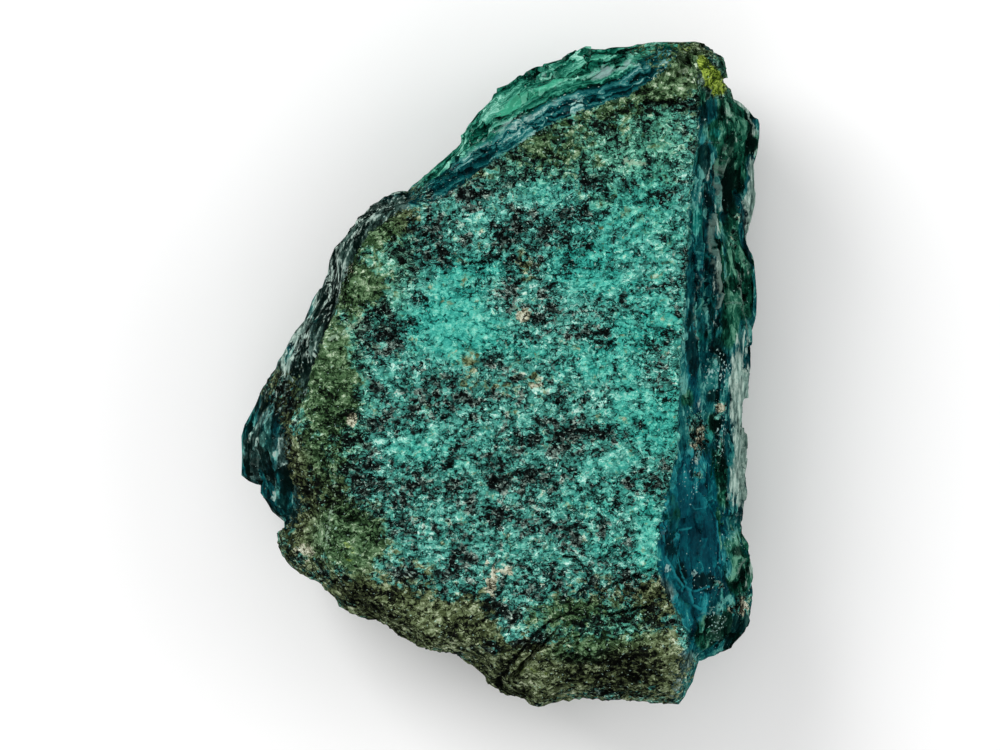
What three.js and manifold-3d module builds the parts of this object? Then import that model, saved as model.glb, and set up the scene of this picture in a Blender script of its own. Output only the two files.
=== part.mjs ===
// A hand specimen of malachite: one broken piece of granular copper-stained rock, lying on its back.
// Its broad broken face looks up. A glassy blue-green vein forms the right wall, banded malachite slopes
// off the upper left edge, and the left corner and the foot are bare fractured rock.
// Millimetres, +Z up, +Y to the crest.
import * as THREE from "three";
import { ConvexGeometry } from "three/addons/geometries/ConvexGeometry.js";
import { ImprovedNoise } from "three/addons/math/ImprovedNoise.js";
import { mergeVertices } from "three/addons/utils/BufferGeometryUtils.js";
import Module from "manifold-3d";

const wasm = await Module();
wasm.setup();

// Driving dimensions.
const FACE_HEIGHT = 31; // the broad face above the ground, at the middle of the stone
const FACE_RISE = 0.02; // how much higher the face is for each millimetre towards the vein
const LEFT_DROP = 2.4; // how far the left edge of the face falls away
const LEFT_DROP_FROM = -15; // where it starts to fall
const LEFT_DROP_TO = -27;
const BELLY_HEIGHT = 4.5; // a level near the ground, where the stone narrows
const BELLY_SHARE = 0.93; // its width as a share of the outline's
const SOLE_SHARE = 0.72; // the flat the stone rests on, as a share of the outline
const SOLE_VARIES = 0.16; // how much that share changes round the stone
const LONGEST_EDGE = 3.0; // no triangle of the finished surface is longer
const SHORTEST_EDGE = 1.1; // nor shorter, where its facet allows
const SHORTEST_RAW_EDGE = 0.7; // the same, before the long edges are cut
const TURN_LIMIT = 0.75; // the cosine of the furthest a face may turn as a short edge closes up
const LEAST_AREA = 0.02; // and the least area it may keep, in square millimetres
const FLAT_ENOUGH = 0.985; // two faces whose normals agree this well count as one facet

// The corners of the stone, clockwise as seen from above. Each gives the outline at its widest, [x, y, z],
// the ridge that breaks the wall above it, [x, y, z], and the edge of the broad face, [x, y].
const CORNERS = {
  crest: [
    [[21.1, 41.8, 16], [20.9, 40.4, 25], [20.3, 37.7]],
    [[24.5, 41.9, 16], [23.6, 40.3, 26], [23.0, 37.4]],
    [[27.2, 39.8, 15], [25.6, 38.6, 26], [24.5, 35.9]],
    [[28.2, 37.8, 14], [26.6, 36.4, 25], [24.7, 34.2]],
  ],
  veinWall: [
    [[29.6, 34.9, 12], [27.2, 33.7, 24], [24.6, 32.3]],
    [[32.7, 31.7, 10], [27.9, 30.3, 23], [24.4, 30.0]],
    [[32.5, 27.2, 8], [27.3, 26.8, 23], [24.0, 26.6]],
    [[32.3, 21.5, 8], [26.9, 21.2, 23], [23.4, 21.0]],
    [[31.5, 17.1, 8], [26.9, 16.3, 22.5], [23.1, 16.4]],
    [[32.3, 9.8, 8], [27.5, 9.4, 22], [22.9, 9.4]],
    [[31.6, 3.9, 9], [28.5, 3.9, 20], [22.4, 3.8]],
    [[30.7, -3.9, 10], [28.4, -3.6, 20], [22.2, -3.2]],
    [[31.1, -8.0, 10], [28.4, -8.2, 21], [21.9, -8.7]],
    [[30.6, -14.3, 10], [28.3, -14.2, 22], [20.7, -14.0]],
    [[30.0, -18.1, 11], [27.9, -18.1, 23], [19.9, -17.7]],
    [[31.2, -21.9, 10], [27.7, -21.8, 23.5], [19.3, -21.4]],
    [[31.8, -26.9, 10], [27.9, -26.3, 23], [19.8, -25.4]],
    [[30.9, -32.2, 11], [27.7, -30.6, 22], [21.4, -28.3]],
    [[28.7, -34.5, 12], [26.5, -32.8, 22], [22.9, -31.5]],
    [[25.0, -35.7, 13], [24.6, -34.3, 23], [23.5, -33.2]],
  ],
  foot: [
    [[23.7, -39.2, 13], [23.2, -37.9, 25], [22.3, -34.3]],
    [[22.2, -40.7, 13], [21.4, -39.2, 26], [20.3, -34.7]],
    [[16.4, -40.4, 13], [16.2, -38.9, 26], [15.9, -34.2]],
    [[11.7, -40.0, 13], [11.3, -38.6, 26], [11.2, -34.0]],
    [[7.4, -40.7, 13], [7.3, -39.1, 26], [7.5, -34.0]],
    [[4.9, -42.0, 14], [4.7, -40.3, 26], [5.0, -34.5]],
    [[2.6, -40.1, 14], [2.6, -38.6, 26], [2.8, -35.0]],
    [[-0.3, -39.3, 14], [0.0, -38.0, 25], [0.4, -35.5]],
    [[-1.9, -36.4, 14], [-1.6, -35.3, 26], [-1.4, -34.0]],
    [[-4.0, -35.2, 14], [-3.8, -34.1, 26], [-3.6, -33.0]],
    [[-8.6, -34.3, 14], [-8.5, -33.3, 26], [-8.7, -32.3]],
    [[-13.0, -31.8, 14], [-12.2, -31.1, 26], [-11.7, -30.3]],
    [[-19.7, -28.6, 14], [-18.2, -27.7, 25], [-16.4, -26.8]],
    [[-22.4, -25.3, 13], [-21.2, -24.9, 23], [-19.3, -24.1]],
  ],
  leftCorner: [
    [[-25.0, -24.5, 12], [-23.8, -23.4, 20], [-21.3, -22.2]],
    [[-27.7, -21.5, 12], [-26.0, -21.2, 19], [-21.8, -20.2]],
    [[-26.4, -18.1, 12], [-24.8, -17.9, 19], [-21.8, -17.1]],
    [[-29.0, -14.8, 11], [-27.1, -14.5, 18], [-22.8, -13.8]],
    [[-32.4, -12.5, 10], [-29.6, -11.7, 17], [-24.0, -10.8]],
    [[-32.7, -7.5, 10], [-30.1, -7.5, 18], [-25.7, -6.9]],
  ],
  leftFlank: [
    [[-29.8, -2.3, 10], [-27.8, -2.5, 19], [-24.7, -2.7]],
    [[-26.5, 4.2, 10], [-24.8, 3.5, 20], [-22.3, 3.0]],
    [[-22.5, 9.9, 11], [-21.2, 9.2, 22], [-20.1, 8.6]],
    [[-20.3, 15.8, 13], [-19.7, 15.1, 24], [-18.6, 13.8]],
    [[-17.4, 19.8, 14], [-17.0, 19.1, 25], [-15.9, 17.7]],
    [[-14.2, 22.3, 14], [-13.5, 21.4, 26], [-12.4, 20.2]],
  ],
  malachiteSlope: [
    [[-10.9, 23.8, 14], [-10.3, 22.9, 25], [-8.5, 21.4]],
    [[-7.4, 26.4, 14], [-6.6, 25.4, 25], [-4.8, 23.6]],
    [[-4.5, 29.2, 14], [-3.6, 28.1, 25], [-0.9, 26.3]],
    [[-1.5, 33.9, 14], [-0.4, 32.6, 25], [2.8, 28.8]],
    [[-0.1, 35.8, 14], [1.4, 34.4, 25], [6.3, 31.0]],
    [[5.1, 38.3, 14], [6.3, 36.7, 25], [11.4, 33.0]],
    [[10.8, 41.0, 15], [11.8, 39.5, 25], [15.9, 34.5]],
    [[16.1, 40.9, 15], [16.5, 39.3, 26], [18.1, 35.9]],
  ],
};

// Hollows worn or split out of the stone, each an ellipsoid: its centre and its half lengths.
const HOLLOWS = {
  veinDish: [[29.3, -21.1, 32.9], [9, 14, 9]],
  veinGroove: [[28.9, 15.5, 30.0], [4.6, 27, 4.6]],
  upperWallScoop: [[38.7, 22.4, 20.6], [12, 15, 12]],
  ribScoop: [[32.4, -3.6, 28.6], [6, 19, 5]],
  footScoop: [[32.8, -41.2, 24], [9, 9, 13]],
  slopeScoop: [[-3.9, 39.6, 27], [9, 8.4, 15]],
  slopeHighScoop: [[6.0, 46.2, 25.6], [11, 10, 12]],
  flankScoop: [[-33.4, 15.2, 21.4], [12, 12, 10]],
  cornerScoop: [[-38.6, -9.8, 23.6], [9.6, 7.4, 10]],
};

// Flat-sided pieces split away, each the convex body between its corners.
const CHIPS = {
  crackMouth: [
    [-1.1, -40.5, 32], [1.9, -40.5, 32], [0.2, -39.5, 16],
    [1.9, -36.2, 32], [2.5, -36.5, 32], [2.2, -36.3, 27],
  ],
  crackUpper: [
    [1.9, -36.4, 32.6], [2.6, -36.6, 32.6], [2.2, -36.5, 27.5],
    [7.4, -30.5, 32.6], [7.8, -30.9, 32.6], [7.6, -30.7, 29.6],
  ],
  leftStep: [
    [-20.9, -9.3, 36], [-20.5, -15.2, 36], [-21.5, -22.8, 36], [-34, -23, 36], [-34, -9, 36],
    [-21.3, -9.3, 27.9], [-20.9, -15.2, 27.9], [-21.9, -22.8, 27.9], [-34, -23, 25], [-34, -9, 25],
  ],
  soleRight: [
    [34, 20, -1], [34, -30, -1], [22, 14, -1], [23, -24, -1], [35, 20, 9], [35, -30, 7], [33, 16, 7],
  ],
  soleCrest: [
    [-2, 44, -1], [30, 42, -1], [4, 29, -1], [21, 27, -1], [-4, 44, 11], [33, 44, 9],
  ],
  soleLeft: [
    [-36, 4, -1], [-36, -24, -1], [-21, 2, -1], [-22, -15, -1], [-36, 6, 8], [-36, -26, 9],
  ],
};

// Pieces that stand proud: the crystals at the crest, and blocks of rock and vein between the hollows.
const LUMPS = {
  oliveCrystal: [
    [19.3, 41.0, 23], [22.5, 41.2, 23], [19.1, 41.1, 29.9], [22.6, 41.2, 30.5],
    [19.2, 37.7, 32.2], [22.3, 37.9, 32.4], [19.4, 37.2, 27], [22.2, 37.2, 27],
  ],
  limeCrystal: [
    [23.2, 40.5, 30.0], [25.0, 39.9, 29.8], [27.4, 37.3, 29.0], [26.6, 35.0, 29.6],
    [24.4, 35.4, 32.2], [23.3, 37.8, 32.4], [24.4, 35.6, 27], [26.2, 36.2, 25], [23.4, 39.6, 25],
  ],
  crestBlock: [
    [22.6, 40.6, 20], [27.8, 39.6, 18], [28.6, 37.2, 17], [24.6, 40.8, 27.6], [27.6, 38.4, 26.6],
    [24.5, 36.5, 24], [27.6, 36.6, 25.4], [25.0, 35.4, 20],
  ],
  footBlock: [
    [26.5, -18.2, 22.5], [29.7, -19.4, 17], [31.3, -26.0, 14.5], [30.7, -31.6, 14.5], [28.2, -32.0, 20.8],
    [28.8, -26.5, 23.2], [27.0, -30.0, 24], [28.4, -21.0, 22.8], [25, -25, 18],
  ],
  cornerBlock: [
    [-24.6, -23.8, 12], [-27.3, -21.4, 13], [-26.2, -19.2, 19.4], [-22.4, -20.2, 25.0], [-21.4, -23.0, 25.0],
    [-20.8, -19.8, 26.4], [-20.5, -21.5, 18],
  ],
};

// The relief of the broken surface: waves, and dishes that meet in sharp edges. Each has its size, and how
// deep it is on the rough walls, on the broad face, and on the glassy vein, where it runs long.
const WAVES = [
  { size: 11, wall: 0.7, face: 0.4, vein: 0.8 },
  { size: 4.2, wall: 0.42, face: 0.34, vein: 0.25 },
];
const DISHES = [
  { size: 9.5, wall: 1.5, face: 0.25, vein: 1.7 },
  { size: 4.6, wall: 0.62, face: 0.22, vein: 0.5 },
];
const VEIN_FROM = 21.5; // the vein begins here
const VEIN_TO = 24.5; // and beyond here all is vein
const VEIN_STRETCH = 2.2; // how much longer than wide its relief is
const RELIEF_FADE = 3; // the relief dies out over this height above the ground, so that the sole stays flat

const noise = new ImprovedNoise();
const { smoothstep } = THREE.MathUtils;

// The height of the broad face at a place.
function faceHeight(x, y) {
  const left = smoothstep(-x, -LEFT_DROP_FROM, -LEFT_DROP_TO);
  return FACE_HEIGHT + FACE_RISE * x - LEFT_DROP * left * smoothstep(-y, -14, 6);
}

// A repeatable number from 0 to 1 for a whole-number cell.
function cellChance(i, j, k, salt) {
  const mixed = Math.sin(i * 127.1 + j * 311.7 + k * 74.7 + salt * 53.3) * 43758.5453;
  return mixed - Math.floor(mixed);
}

// How far a point is from the middle of its nearest dish: 0 there, near 1 on the sharp edge between two.
function dishEdge(x, y, z) {
  let nearest = Infinity;
  for (let i = Math.floor(x) - 1; i <= Math.floor(x) + 1; i++)
    for (let j = Math.floor(y) - 1; j <= Math.floor(y) + 1; j++)
      for (let k = Math.floor(z) - 1; k <= Math.floor(z) + 1; k++) {
        const [u, v, w] = [0, 1, 2].map((salt) => cellChance(i, j, k, salt));
        nearest = Math.min(nearest, (i + u - x) ** 2 + (j + v - y) ** 2 + (k + w - z) ** 2);
      }
  return Math.min(nearest, 1);
}

// How far the broken surface stands out at a point, with the depths of one kind of rock mixed by weight.
function relief({ x, y, z }, stretch, depthOf) {
  const at = (size, field) => field(x / size + 5.3, y / size / stretch + 1.7, z / size);
  const waves = WAVES.map((wave) => depthOf(wave) * at(wave.size, (...place) => noise.noise(...place)));
  const dishes = DISHES.map((dish) => depthOf(dish) * (at(dish.size, dishEdge) - 0.45));
  return [...waves, ...dishes].reduce((sum, part) => sum + part, 0);
}

// The outline smoothed and drawn in towards the middle, at a height, by a share that varies round the stone.
function drawnIn(outline, share, varies, height) {
  const around = (i) => [-2, -1, 0, 1, 2].map((step) => outline.at((i + step) % outline.length));
  return outline.map((_, i) => {
    const [x, y] = [0, 1].map((axis) => around(i).reduce((sum, point) => sum + point[axis], 0) / 5);
    const own = share + varies * noise.noise(x / 14, y / 14, height + 0.5);
    return [x * own, y * own, height];
  });
}

// The body as points and triangles: rings joined one above another, closed by the sole and the face.
function loftedBody() {
  const corners = Object.values(CORNERS).flat();
  const outline = corners.map(([widest]) => widest);
  const rings = [
    drawnIn(outline, SOLE_SHARE, SOLE_VARIES, 0),
    drawnIn(outline, BELLY_SHARE, SOLE_VARIES / 2, BELLY_HEIGHT),
    outline,
    corners.map(([, ridge]) => ridge),
    corners.map(([, , [x, y]]) => [x, y, faceHeight(x, y)]),
  ];
  const points = rings.flat().map((place) => new THREE.Vector3(...place));
  const count = outline.length;
  const faces = [];
  for (let level = 0; level < rings.length - 1; level++)
    for (let i = 0; i < count; i++) {
      const [low, lowNext] = [level * count + i, level * count + ((i + 1) % count)];
      const [high, highNext] = [low + count, lowNext + count];
      if (points[low].distanceTo(points[highNext]) < points[high].distanceTo(points[lowNext]))
        faces.push([low, high, highNext], [low, highNext, lowNext]);
      else faces.push([low, high, lowNext], [high, highNext, lowNext]);
    }
  faces.push(...lid(points, 0, count, -1), ...lid(points, points.length - count, count, 1));
  return { points, faces };
}

// Triangles that close a ring of points, facing up (1) or down (-1).
function lid(points, first, count, facing) {
  const flat = points.slice(first, first + count).map(({ x, y }) => new THREE.Vector2(x, y));
  return THREE.ShapeUtils.triangulateShape(flat, []).map((corners) => {
    const turn = THREE.ShapeUtils.area(corners.map((corner) => flat[corner])) * facing;
    return (turn > 0 ? corners : corners.reverse()).map((corner) => first + corner);
  });
}

// A manifold-3d solid from points and triangles, and back.
function solidOf({ points, faces }) {
  const vertProperties = new Float32Array(points.flatMap(({ x, y, z }) => [x, y, z]));
  const triVerts = new Uint32Array(faces.flat());
  return new wasm.Manifold(new wasm.Mesh({ numProp: 3, vertProperties, triVerts }));
}

function meshOf(solid) {
  const { vertProperties, triVerts, numVert, numTri, numProp } = solid.getMesh();
  const place = (i) => new THREE.Vector3().fromArray(vertProperties, i * numProp);
  const face = (i) => [...triVerts.subarray(3 * i, 3 * i + 3)];
  return {
    points: Array.from({ length: numVert }, (_, i) => place(i)),
    faces: Array.from({ length: numTri }, (_, i) => face(i)),
  };
}

// The solid of a closed three.js geometry.
function geometrySolid(geometry) {
  geometry.deleteAttribute("normal");
  geometry.deleteAttribute("uv");
  const { index, attributes } = mergeVertices(geometry, 1e-4);
  const points = Array.from({ length: attributes.position.count }, (_, i) =>
    new THREE.Vector3().fromBufferAttribute(attributes.position, i));
  const face = (i) => [...index.array.subarray(3 * i, 3 * i + 3)];
  const faces = Array.from({ length: index.count / 3 }, (_, i) => face(i));
  return solidOf({ points, faces: faces.filter((corners) => new Set(corners).size === 3) });
}

const hull = (corners) =>
  geometrySolid(new ConvexGeometry(corners.map((corner) => new THREE.Vector3(...corner))));

const ellipsoid = ([centre, halves]) =>
  geometrySolid(new THREE.SphereGeometry(1, 20, 12).scale(...halves).translate(...centre));

// Evens out the triangles: short edges close up, long ones are cut, and flat neighbours swap diagonals.
function evened({ points, faces }) {
  faces = closedUp(points, faces, SHORTEST_RAW_EDGE);
  for (let before = 0; before !== faces.length; ) {
    before = faces.length;
    faces = splitLongEdges(points, faces, LONGEST_EDGE);
    for (let pass = 0; pass < 4; pass++) swapDiagonals(points, faces);
  }
  faces = closedUp(points, faces, SHORTEST_EDGE);
  const used = [...new Set(faces.flat())];
  const number = new Map(used.map((old, i) => [old, i]));
  const renumbered = faces.map((face) => face.map((old) => number.get(old)));
  return { points: used.map((old) => points[old]), faces: renumbered };
}

// Merges the ends of edges shorter than the limit, wherever that turns no face far from where it looked.
function closedUp(points, faces, shortest) {
  for (let before = Infinity; faces.length < before; ) {
    before = faces.length;
    const around = points.map(() => []);
    faces.forEach((face) => face.forEach((corner) => around[corner].push(face)));
    const settled = new Set();
    const gone = new Set();
    for (const [a, b] of faces.flatMap(([a, b, c]) => [[a, b], [b, c], [c, a]])) {
      if (points[a].distanceTo(points[b]) >= shortest) continue;
      const [kept, lost] = mergeable(points, around, settled, a, b) ? [a, b] : [b, a];
      if (!mergeable(points, around, settled, kept, lost)) continue;
      [...around[kept], ...around[lost]].flat().forEach((corner) => settled.add(corner));
      for (const face of around[lost])
        if (face.includes(kept)) gone.add(face);
        else face[face.indexOf(lost)] = kept;
    }
    faces = faces.filter((face) => !gone.has(face));
  }
  return faces;
}

// Whether one corner can be moved to its neighbour, with the surface around them still closed and smooth.
function mergeable(points, around, settled, kept, lost) {
  const [keptRing, lostRing] = [kept, lost].map((corner) => new Set(around[corner].flat()));
  if ([...keptRing, ...lostRing].some((corner) => settled.has(corner))) return false;
  const shared = [...keptRing].filter((corner) => lostRing.has(corner)).length;
  return shared === 4 && around[lost].filter((face) => !face.includes(kept)).every((face) => {
    const moved = face.map((corner) => (corner === lost ? kept : corner));
    const turned = normalOf(points, face).dot(normalOf(points, moved));
    return turned > TURN_LIMIT && areaOf(points, moved) > LEAST_AREA;
  });
}

// Cuts the triangles at the middle of each edge that is longer than the limit.
function splitLongEdges(points, faces, longest) {
  const middles = new Map();
  const middle = (a, b) => {
    if (points[a].distanceTo(points[b]) <= longest) return null;
    const key = Math.min(a, b) + "_" + Math.max(a, b);
    if (!middles.has(key)) middles.set(key, points.push(points[a].clone().lerp(points[b], 0.5)) - 1);
    return middles.get(key);
  };
  return faces.flatMap((face) => {
    const cuts = face.map((corner, i) => middle(corner, face[(i + 1) % 3]));
    const made = cuts.filter((cut) => cut !== null).length;
    if (made === 0) return [face];
    if (made === 3) {
      const [a, b, c] = face;
      const [ab, bc, ca] = cuts;
      return [[a, ab, ca], [ab, b, bc], [bc, c, ca], [ab, bc, ca]];
    }
    // Turned so that the first edge is cut, and the last one isn't.
    const turn = made === 1 ? cuts.findIndex((cut) => cut !== null) : (cuts.indexOf(null) + 1) % 3;
    const [a, b, c] = [0, 1, 2].map((i) => face[(turn + i) % 3]);
    const [ab, bc] = [0, 1].map((i) => cuts[(turn + i) % 3]);
    if (made === 1) return [[a, ab, c], [ab, b, c]];
    return points[a].distanceTo(points[bc]) < points[ab].distanceTo(points[c])
      ? [[ab, b, bc], [a, ab, bc], [a, bc, c]]
      : [[ab, b, bc], [a, ab, c], [ab, bc, c]];
  });
}

const triangle = (points, face) => new THREE.Triangle(...face.map((corner) => points[corner]));
const normalOf = (points, face) => triangle(points, face).getNormal(new THREE.Vector3());
const areaOf = (points, face) => triangle(points, face).getArea();

function angleAt(points, corner, a, b) {
  const [toA, toB] = [a, b].map((end) => points[end].clone().sub(points[corner]));
  return toA.angleTo(toB);
}

// Swaps the diagonal of two flat neighbours where the angles that face it add up to more than half a turn.
function swapDiagonals(points, faces) {
  const edges = new Map();
  faces.forEach(([a, b, c], f) => {
    for (const [from, to, apex] of [[a, b, c], [b, c, a], [c, a, b]])
      edges.set(from + "_" + to, { f, from, to, apex });
  });
  const done = new Set();
  for (const { f, from, to, apex } of edges.values()) {
    const other = edges.get(to + "_" + from);
    if (from > to || done.has(f) || done.has(other.f)) continue;
    if (edges.has(apex + "_" + other.apex) || edges.has(other.apex + "_" + apex)) continue;
    if (angleAt(points, apex, from, to) + angleAt(points, other.apex, from, to) < Math.PI + 1e-6) continue;
    const facing = normalOf(points, faces[f]);
    const pair = [[apex, from, other.apex], [other.apex, to, apex]];
    if ([faces[other.f], ...pair].some((face) => normalOf(points, face).dot(facing) < FLAT_ENOUGH)) continue;
    [faces[f], faces[other.f]] = pair;
    done.add(f).add(other.f);
  }
}

// Moves each point out or in by the relief, along its own normal.
function weathered({ points, faces }) {
  const normals = points.map(() => new THREE.Vector3());
  for (const face of faces) {
    const facing = normalOf(points, face).multiplyScalar(areaOf(points, face));
    face.forEach((corner) => normals[corner].add(facing));
  }
  const moved = points.map((point, i) => {
    const normal = normals[i].normalize();
    const up = smoothstep(normal.z, 0.55, 0.95);
    const vein = smoothstep(point.x, VEIN_FROM, VEIN_TO);
    const rock = relief(point, 1, ({ wall, face }) => wall + (face - wall) * up);
    const glassy = relief(point, VEIN_STRETCH, (depth) => depth.vein);
    const out = (rock + (glassy - rock) * vein) * smoothstep(point.z, 0, RELIEF_FADE);
    return point.clone().addScaledVector(normal, out);
  });
  return { points: moved, faces };
}

function stoneGeometry() {
  let stone = solidOf(loftedBody());
  for (const lump of Object.values(LUMPS)) stone = stone.add(hull(lump));
  for (const chip of Object.values(CHIPS)) stone = stone.subtract(hull(chip));
  for (const hollow of Object.values(HOLLOWS)) stone = stone.subtract(ellipsoid(hollow));
  const { points, faces } = weathered(evened(meshOf(stone)));
  const geometry = new THREE.BufferGeometry().setFromPoints(points).setIndex(faces.flat());
  geometry.computeVertexNormals();
  return geometry;
}

const stone = new THREE.Mesh(
  stoneGeometry(),
  new THREE.MeshStandardMaterial({ color: 0x4c8a78, roughness: 0.6, metalness: 0, flatShading: true }),
);
stone.name = "malachite_stone";

// The origin is on the ground, under the middle of the stone.
stone.geometry.computeBoundingBox();
const { min, max } = stone.geometry.boundingBox;
stone.position.set(-(min.x + max.x) / 2, -(min.y + max.y) / 2, -min.z);

const specimen = new THREE.Group();
specimen.add(stone);
export default specimen;
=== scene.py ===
"""The looks of a broken hand specimen of malachite, lying on its back on a pale floor.

The stone is one piece. Its broad face is granular rock stained blue-green, its right wall is a glassy
dark blue-green vein, malachite lies in bands along its upper left edge, and the rest is bare broken
rock. The mesh carries what its finish needs to know of each place: how far it is from the edge of the
broad face, which side of the stone it is on, how stained it is there, and how much painted sheen,
glints and shade it gets there.
"""

import logging
import math
from dataclasses import dataclass, field
from enum import Enum
from typing import Callable, Sequence, Union

import bpy
import numpy as np
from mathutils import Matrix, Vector


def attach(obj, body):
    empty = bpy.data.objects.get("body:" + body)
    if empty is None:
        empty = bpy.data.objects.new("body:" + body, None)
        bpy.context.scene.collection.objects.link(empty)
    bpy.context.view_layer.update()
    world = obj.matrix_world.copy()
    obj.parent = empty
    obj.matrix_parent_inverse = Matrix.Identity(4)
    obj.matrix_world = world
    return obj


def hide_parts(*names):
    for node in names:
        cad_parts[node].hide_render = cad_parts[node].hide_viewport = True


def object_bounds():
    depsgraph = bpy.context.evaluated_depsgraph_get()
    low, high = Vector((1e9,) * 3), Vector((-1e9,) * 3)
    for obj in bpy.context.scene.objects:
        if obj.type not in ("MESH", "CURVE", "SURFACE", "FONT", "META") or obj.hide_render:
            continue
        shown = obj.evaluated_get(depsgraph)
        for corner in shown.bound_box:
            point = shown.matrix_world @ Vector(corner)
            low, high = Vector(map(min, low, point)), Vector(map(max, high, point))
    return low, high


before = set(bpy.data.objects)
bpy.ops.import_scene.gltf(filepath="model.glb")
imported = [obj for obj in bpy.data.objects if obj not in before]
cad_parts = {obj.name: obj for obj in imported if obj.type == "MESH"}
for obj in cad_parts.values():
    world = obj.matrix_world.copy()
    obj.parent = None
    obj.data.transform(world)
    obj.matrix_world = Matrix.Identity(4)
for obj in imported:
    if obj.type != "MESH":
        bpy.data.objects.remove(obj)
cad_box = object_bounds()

log = logging.getLogger("malachite")

MM = 0.001  # a millimetre, in metres
STONE_SHIFT = (0.189, 0.177, 0.0)  # millimetres from the frame's origin to the stone's own middle

Socket = bpy.types.NodeSocket
Items = bpy.types.bpy_prop_collection  # the corners, edges or faces of a mesh
Key = Union[str, int]  # a socket's name or number
Inputs = dict[Key, "Value"]  # what sockets are fed
Colour = tuple[float, float, float]
Place = tuple[float, float]  # x and y
Levels = tuple[float, float]  # where a soft step is 0, and where it is 1
Triple = tuple[float, float, float]
Stops = tuple[tuple[int, int, int, int], ...]  # each a place in hundredths, then red, green and blue


def paint(red: int, green: int, blue: int) -> Colour:
    """A colour given in the usual 0 to 255 steps, as light.

    Args:
        red: the red step.
        green: the green step.
        blue: the blue step.

    Returns:
        The linear red, green and blue.
    """
    shares = (red / 255, green / 255, blue / 255)
    return tuple(share / 12.92 if share <= 0.04045 else ((share + 0.055) / 1.055) ** 2.4 for share in shares)


# ---------------------------------------------------------------------------------------------------
# Places on the stone, in its own millimetres
# ---------------------------------------------------------------------------------------------------


class Side(Enum):
    """The sides of the stone, clockwise from its top as seen from above."""

    CREST = "crest"
    VEIN = "vein"
    FOOT = "foot"
    CORNER = "corner"
    FLANK = "flank"
    SLOPE = "slope"


EDGE_FADE = 0.8  # how far a patch has faded at its edge
EDGE_POWER = 1.5  # how suddenly it fades there

# The edge of the broad face, side by side, clockwise.
RIM: dict[Side, list[Place]] = {
    Side.CREST: [(20.3, 37.7), (23.0, 37.4)],
    Side.VEIN: [
        (24.5, 35.9), (24.7, 34.2), (24.6, 32.3), (24.4, 30.0), (24.0, 26.6), (23.4, 21.0), (23.1, 16.4),
        (22.9, 9.4), (22.4, 3.8), (22.2, -3.2), (21.9, -8.7), (20.7, -14.0), (19.9, -17.7), (19.3, -21.4),
        (19.8, -25.4), (21.4, -28.3), (22.9, -31.5), (23.5, -33.2),
    ],
    Side.FOOT: [
        (22.3, -34.3), (20.3, -34.7), (15.9, -34.2), (11.2, -34.0), (7.5, -34.0), (5.0, -34.5),
        (2.8, -35.0), (0.4, -35.5), (-1.4, -34.0), (-3.6, -33.0), (-8.7, -32.3), (-11.7, -30.3),
        (-16.4, -26.8), (-19.3, -24.1),
    ],
    Side.CORNER: [
        (-21.3, -22.2), (-21.8, -20.2), (-21.8, -17.1), (-22.8, -13.8), (-24.0, -10.8), (-25.7, -6.9),
    ],
    Side.FLANK: [(-24.7, -2.7), (-22.3, 3.0), (-20.1, 8.6), (-18.6, 13.8), (-15.9, 17.7), (-12.4, 20.2)],
    Side.SLOPE: [
        (-8.5, 21.4), (-4.8, 23.6), (-0.9, 26.3), (2.8, 28.8), (6.3, 31.0), (11.4, 33.0), (15.9, 34.5),
        (18.1, 35.9),
    ],
}


@dataclass(frozen=True)
class Patch:
    """An oval patch that fades out from its middle."""

    x: float
    y: float
    half_x: float
    half_y: float
    strength: float
    turn: float = 0.0  # degrees anticlockwise

    def weight(self, places: np.ndarray) -> np.ndarray:
        """How strong the patch is at each place.

        Args:
            places: x and y of each place, one row each.

        Returns:
            The strength at each place.
        """
        angle = math.radians(self.turn)
        dx, dy = places[:, 0] - self.x, places[:, 1] - self.y
        along = (dx * math.cos(angle) + dy * math.sin(angle)) / self.half_x
        across = (dy * math.cos(angle) - dx * math.sin(angle)) / self.half_y
        reach = along**2 + across**2
        return self.strength * np.exp(-EDGE_FADE * reach**EDGE_POWER)


def ovals(*rows: tuple[float, ...]) -> list[Patch]:
    """Patches from rows of x, y, half x, half y, strength and, where one is turned, its turn."""
    return [Patch(*row) for row in rows]


@dataclass(frozen=True)
class Trace:
    """A line drawn on the stone, such as a crack or a thin vein, with its half width at both ends."""

    start: float
    end: float
    points: tuple[Place, ...]

    def inside(self, places: np.ndarray) -> np.ndarray:
        """How far each place lies within the line's edge.

        Args:
            places: x and y of each place, one row each.

        Returns:
            The distance in millimetres, negative outside.
        """
        corners = np.array(self.points)
        lengths = np.hypot(*np.diff(corners, axis=0).T)
        run = np.concatenate([[0], np.cumsum(lengths)]) / lengths.sum()
        best = np.full(len(places), -np.inf)
        for a, b, from_share, to_share in zip(corners[:-1], corners[1:], run[:-1], run[1:]):
            share, distance = nearest_on_segment(places, a, b)
            along = from_share + (to_share - from_share) * share
            best = np.maximum(best, self.start + (self.end - self.start) * along - distance)
        return best


def nearest_on_segment(places: np.ndarray, a: np.ndarray, b: np.ndarray) -> tuple[np.ndarray, np.ndarray]:
    """The nearest spot of a straight piece to each place.

    Args:
        places: x and y of each place.
        a: where the piece starts.
        b: where it ends.

    Returns:
        The share of the piece at which the spot lies, and its distance.
    """
    run = b - a
    share = np.clip(((places - a) @ run) / (run @ run), 0, 1)
    return share, np.hypot(*(places - a - share[:, None] * run).T)


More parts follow.
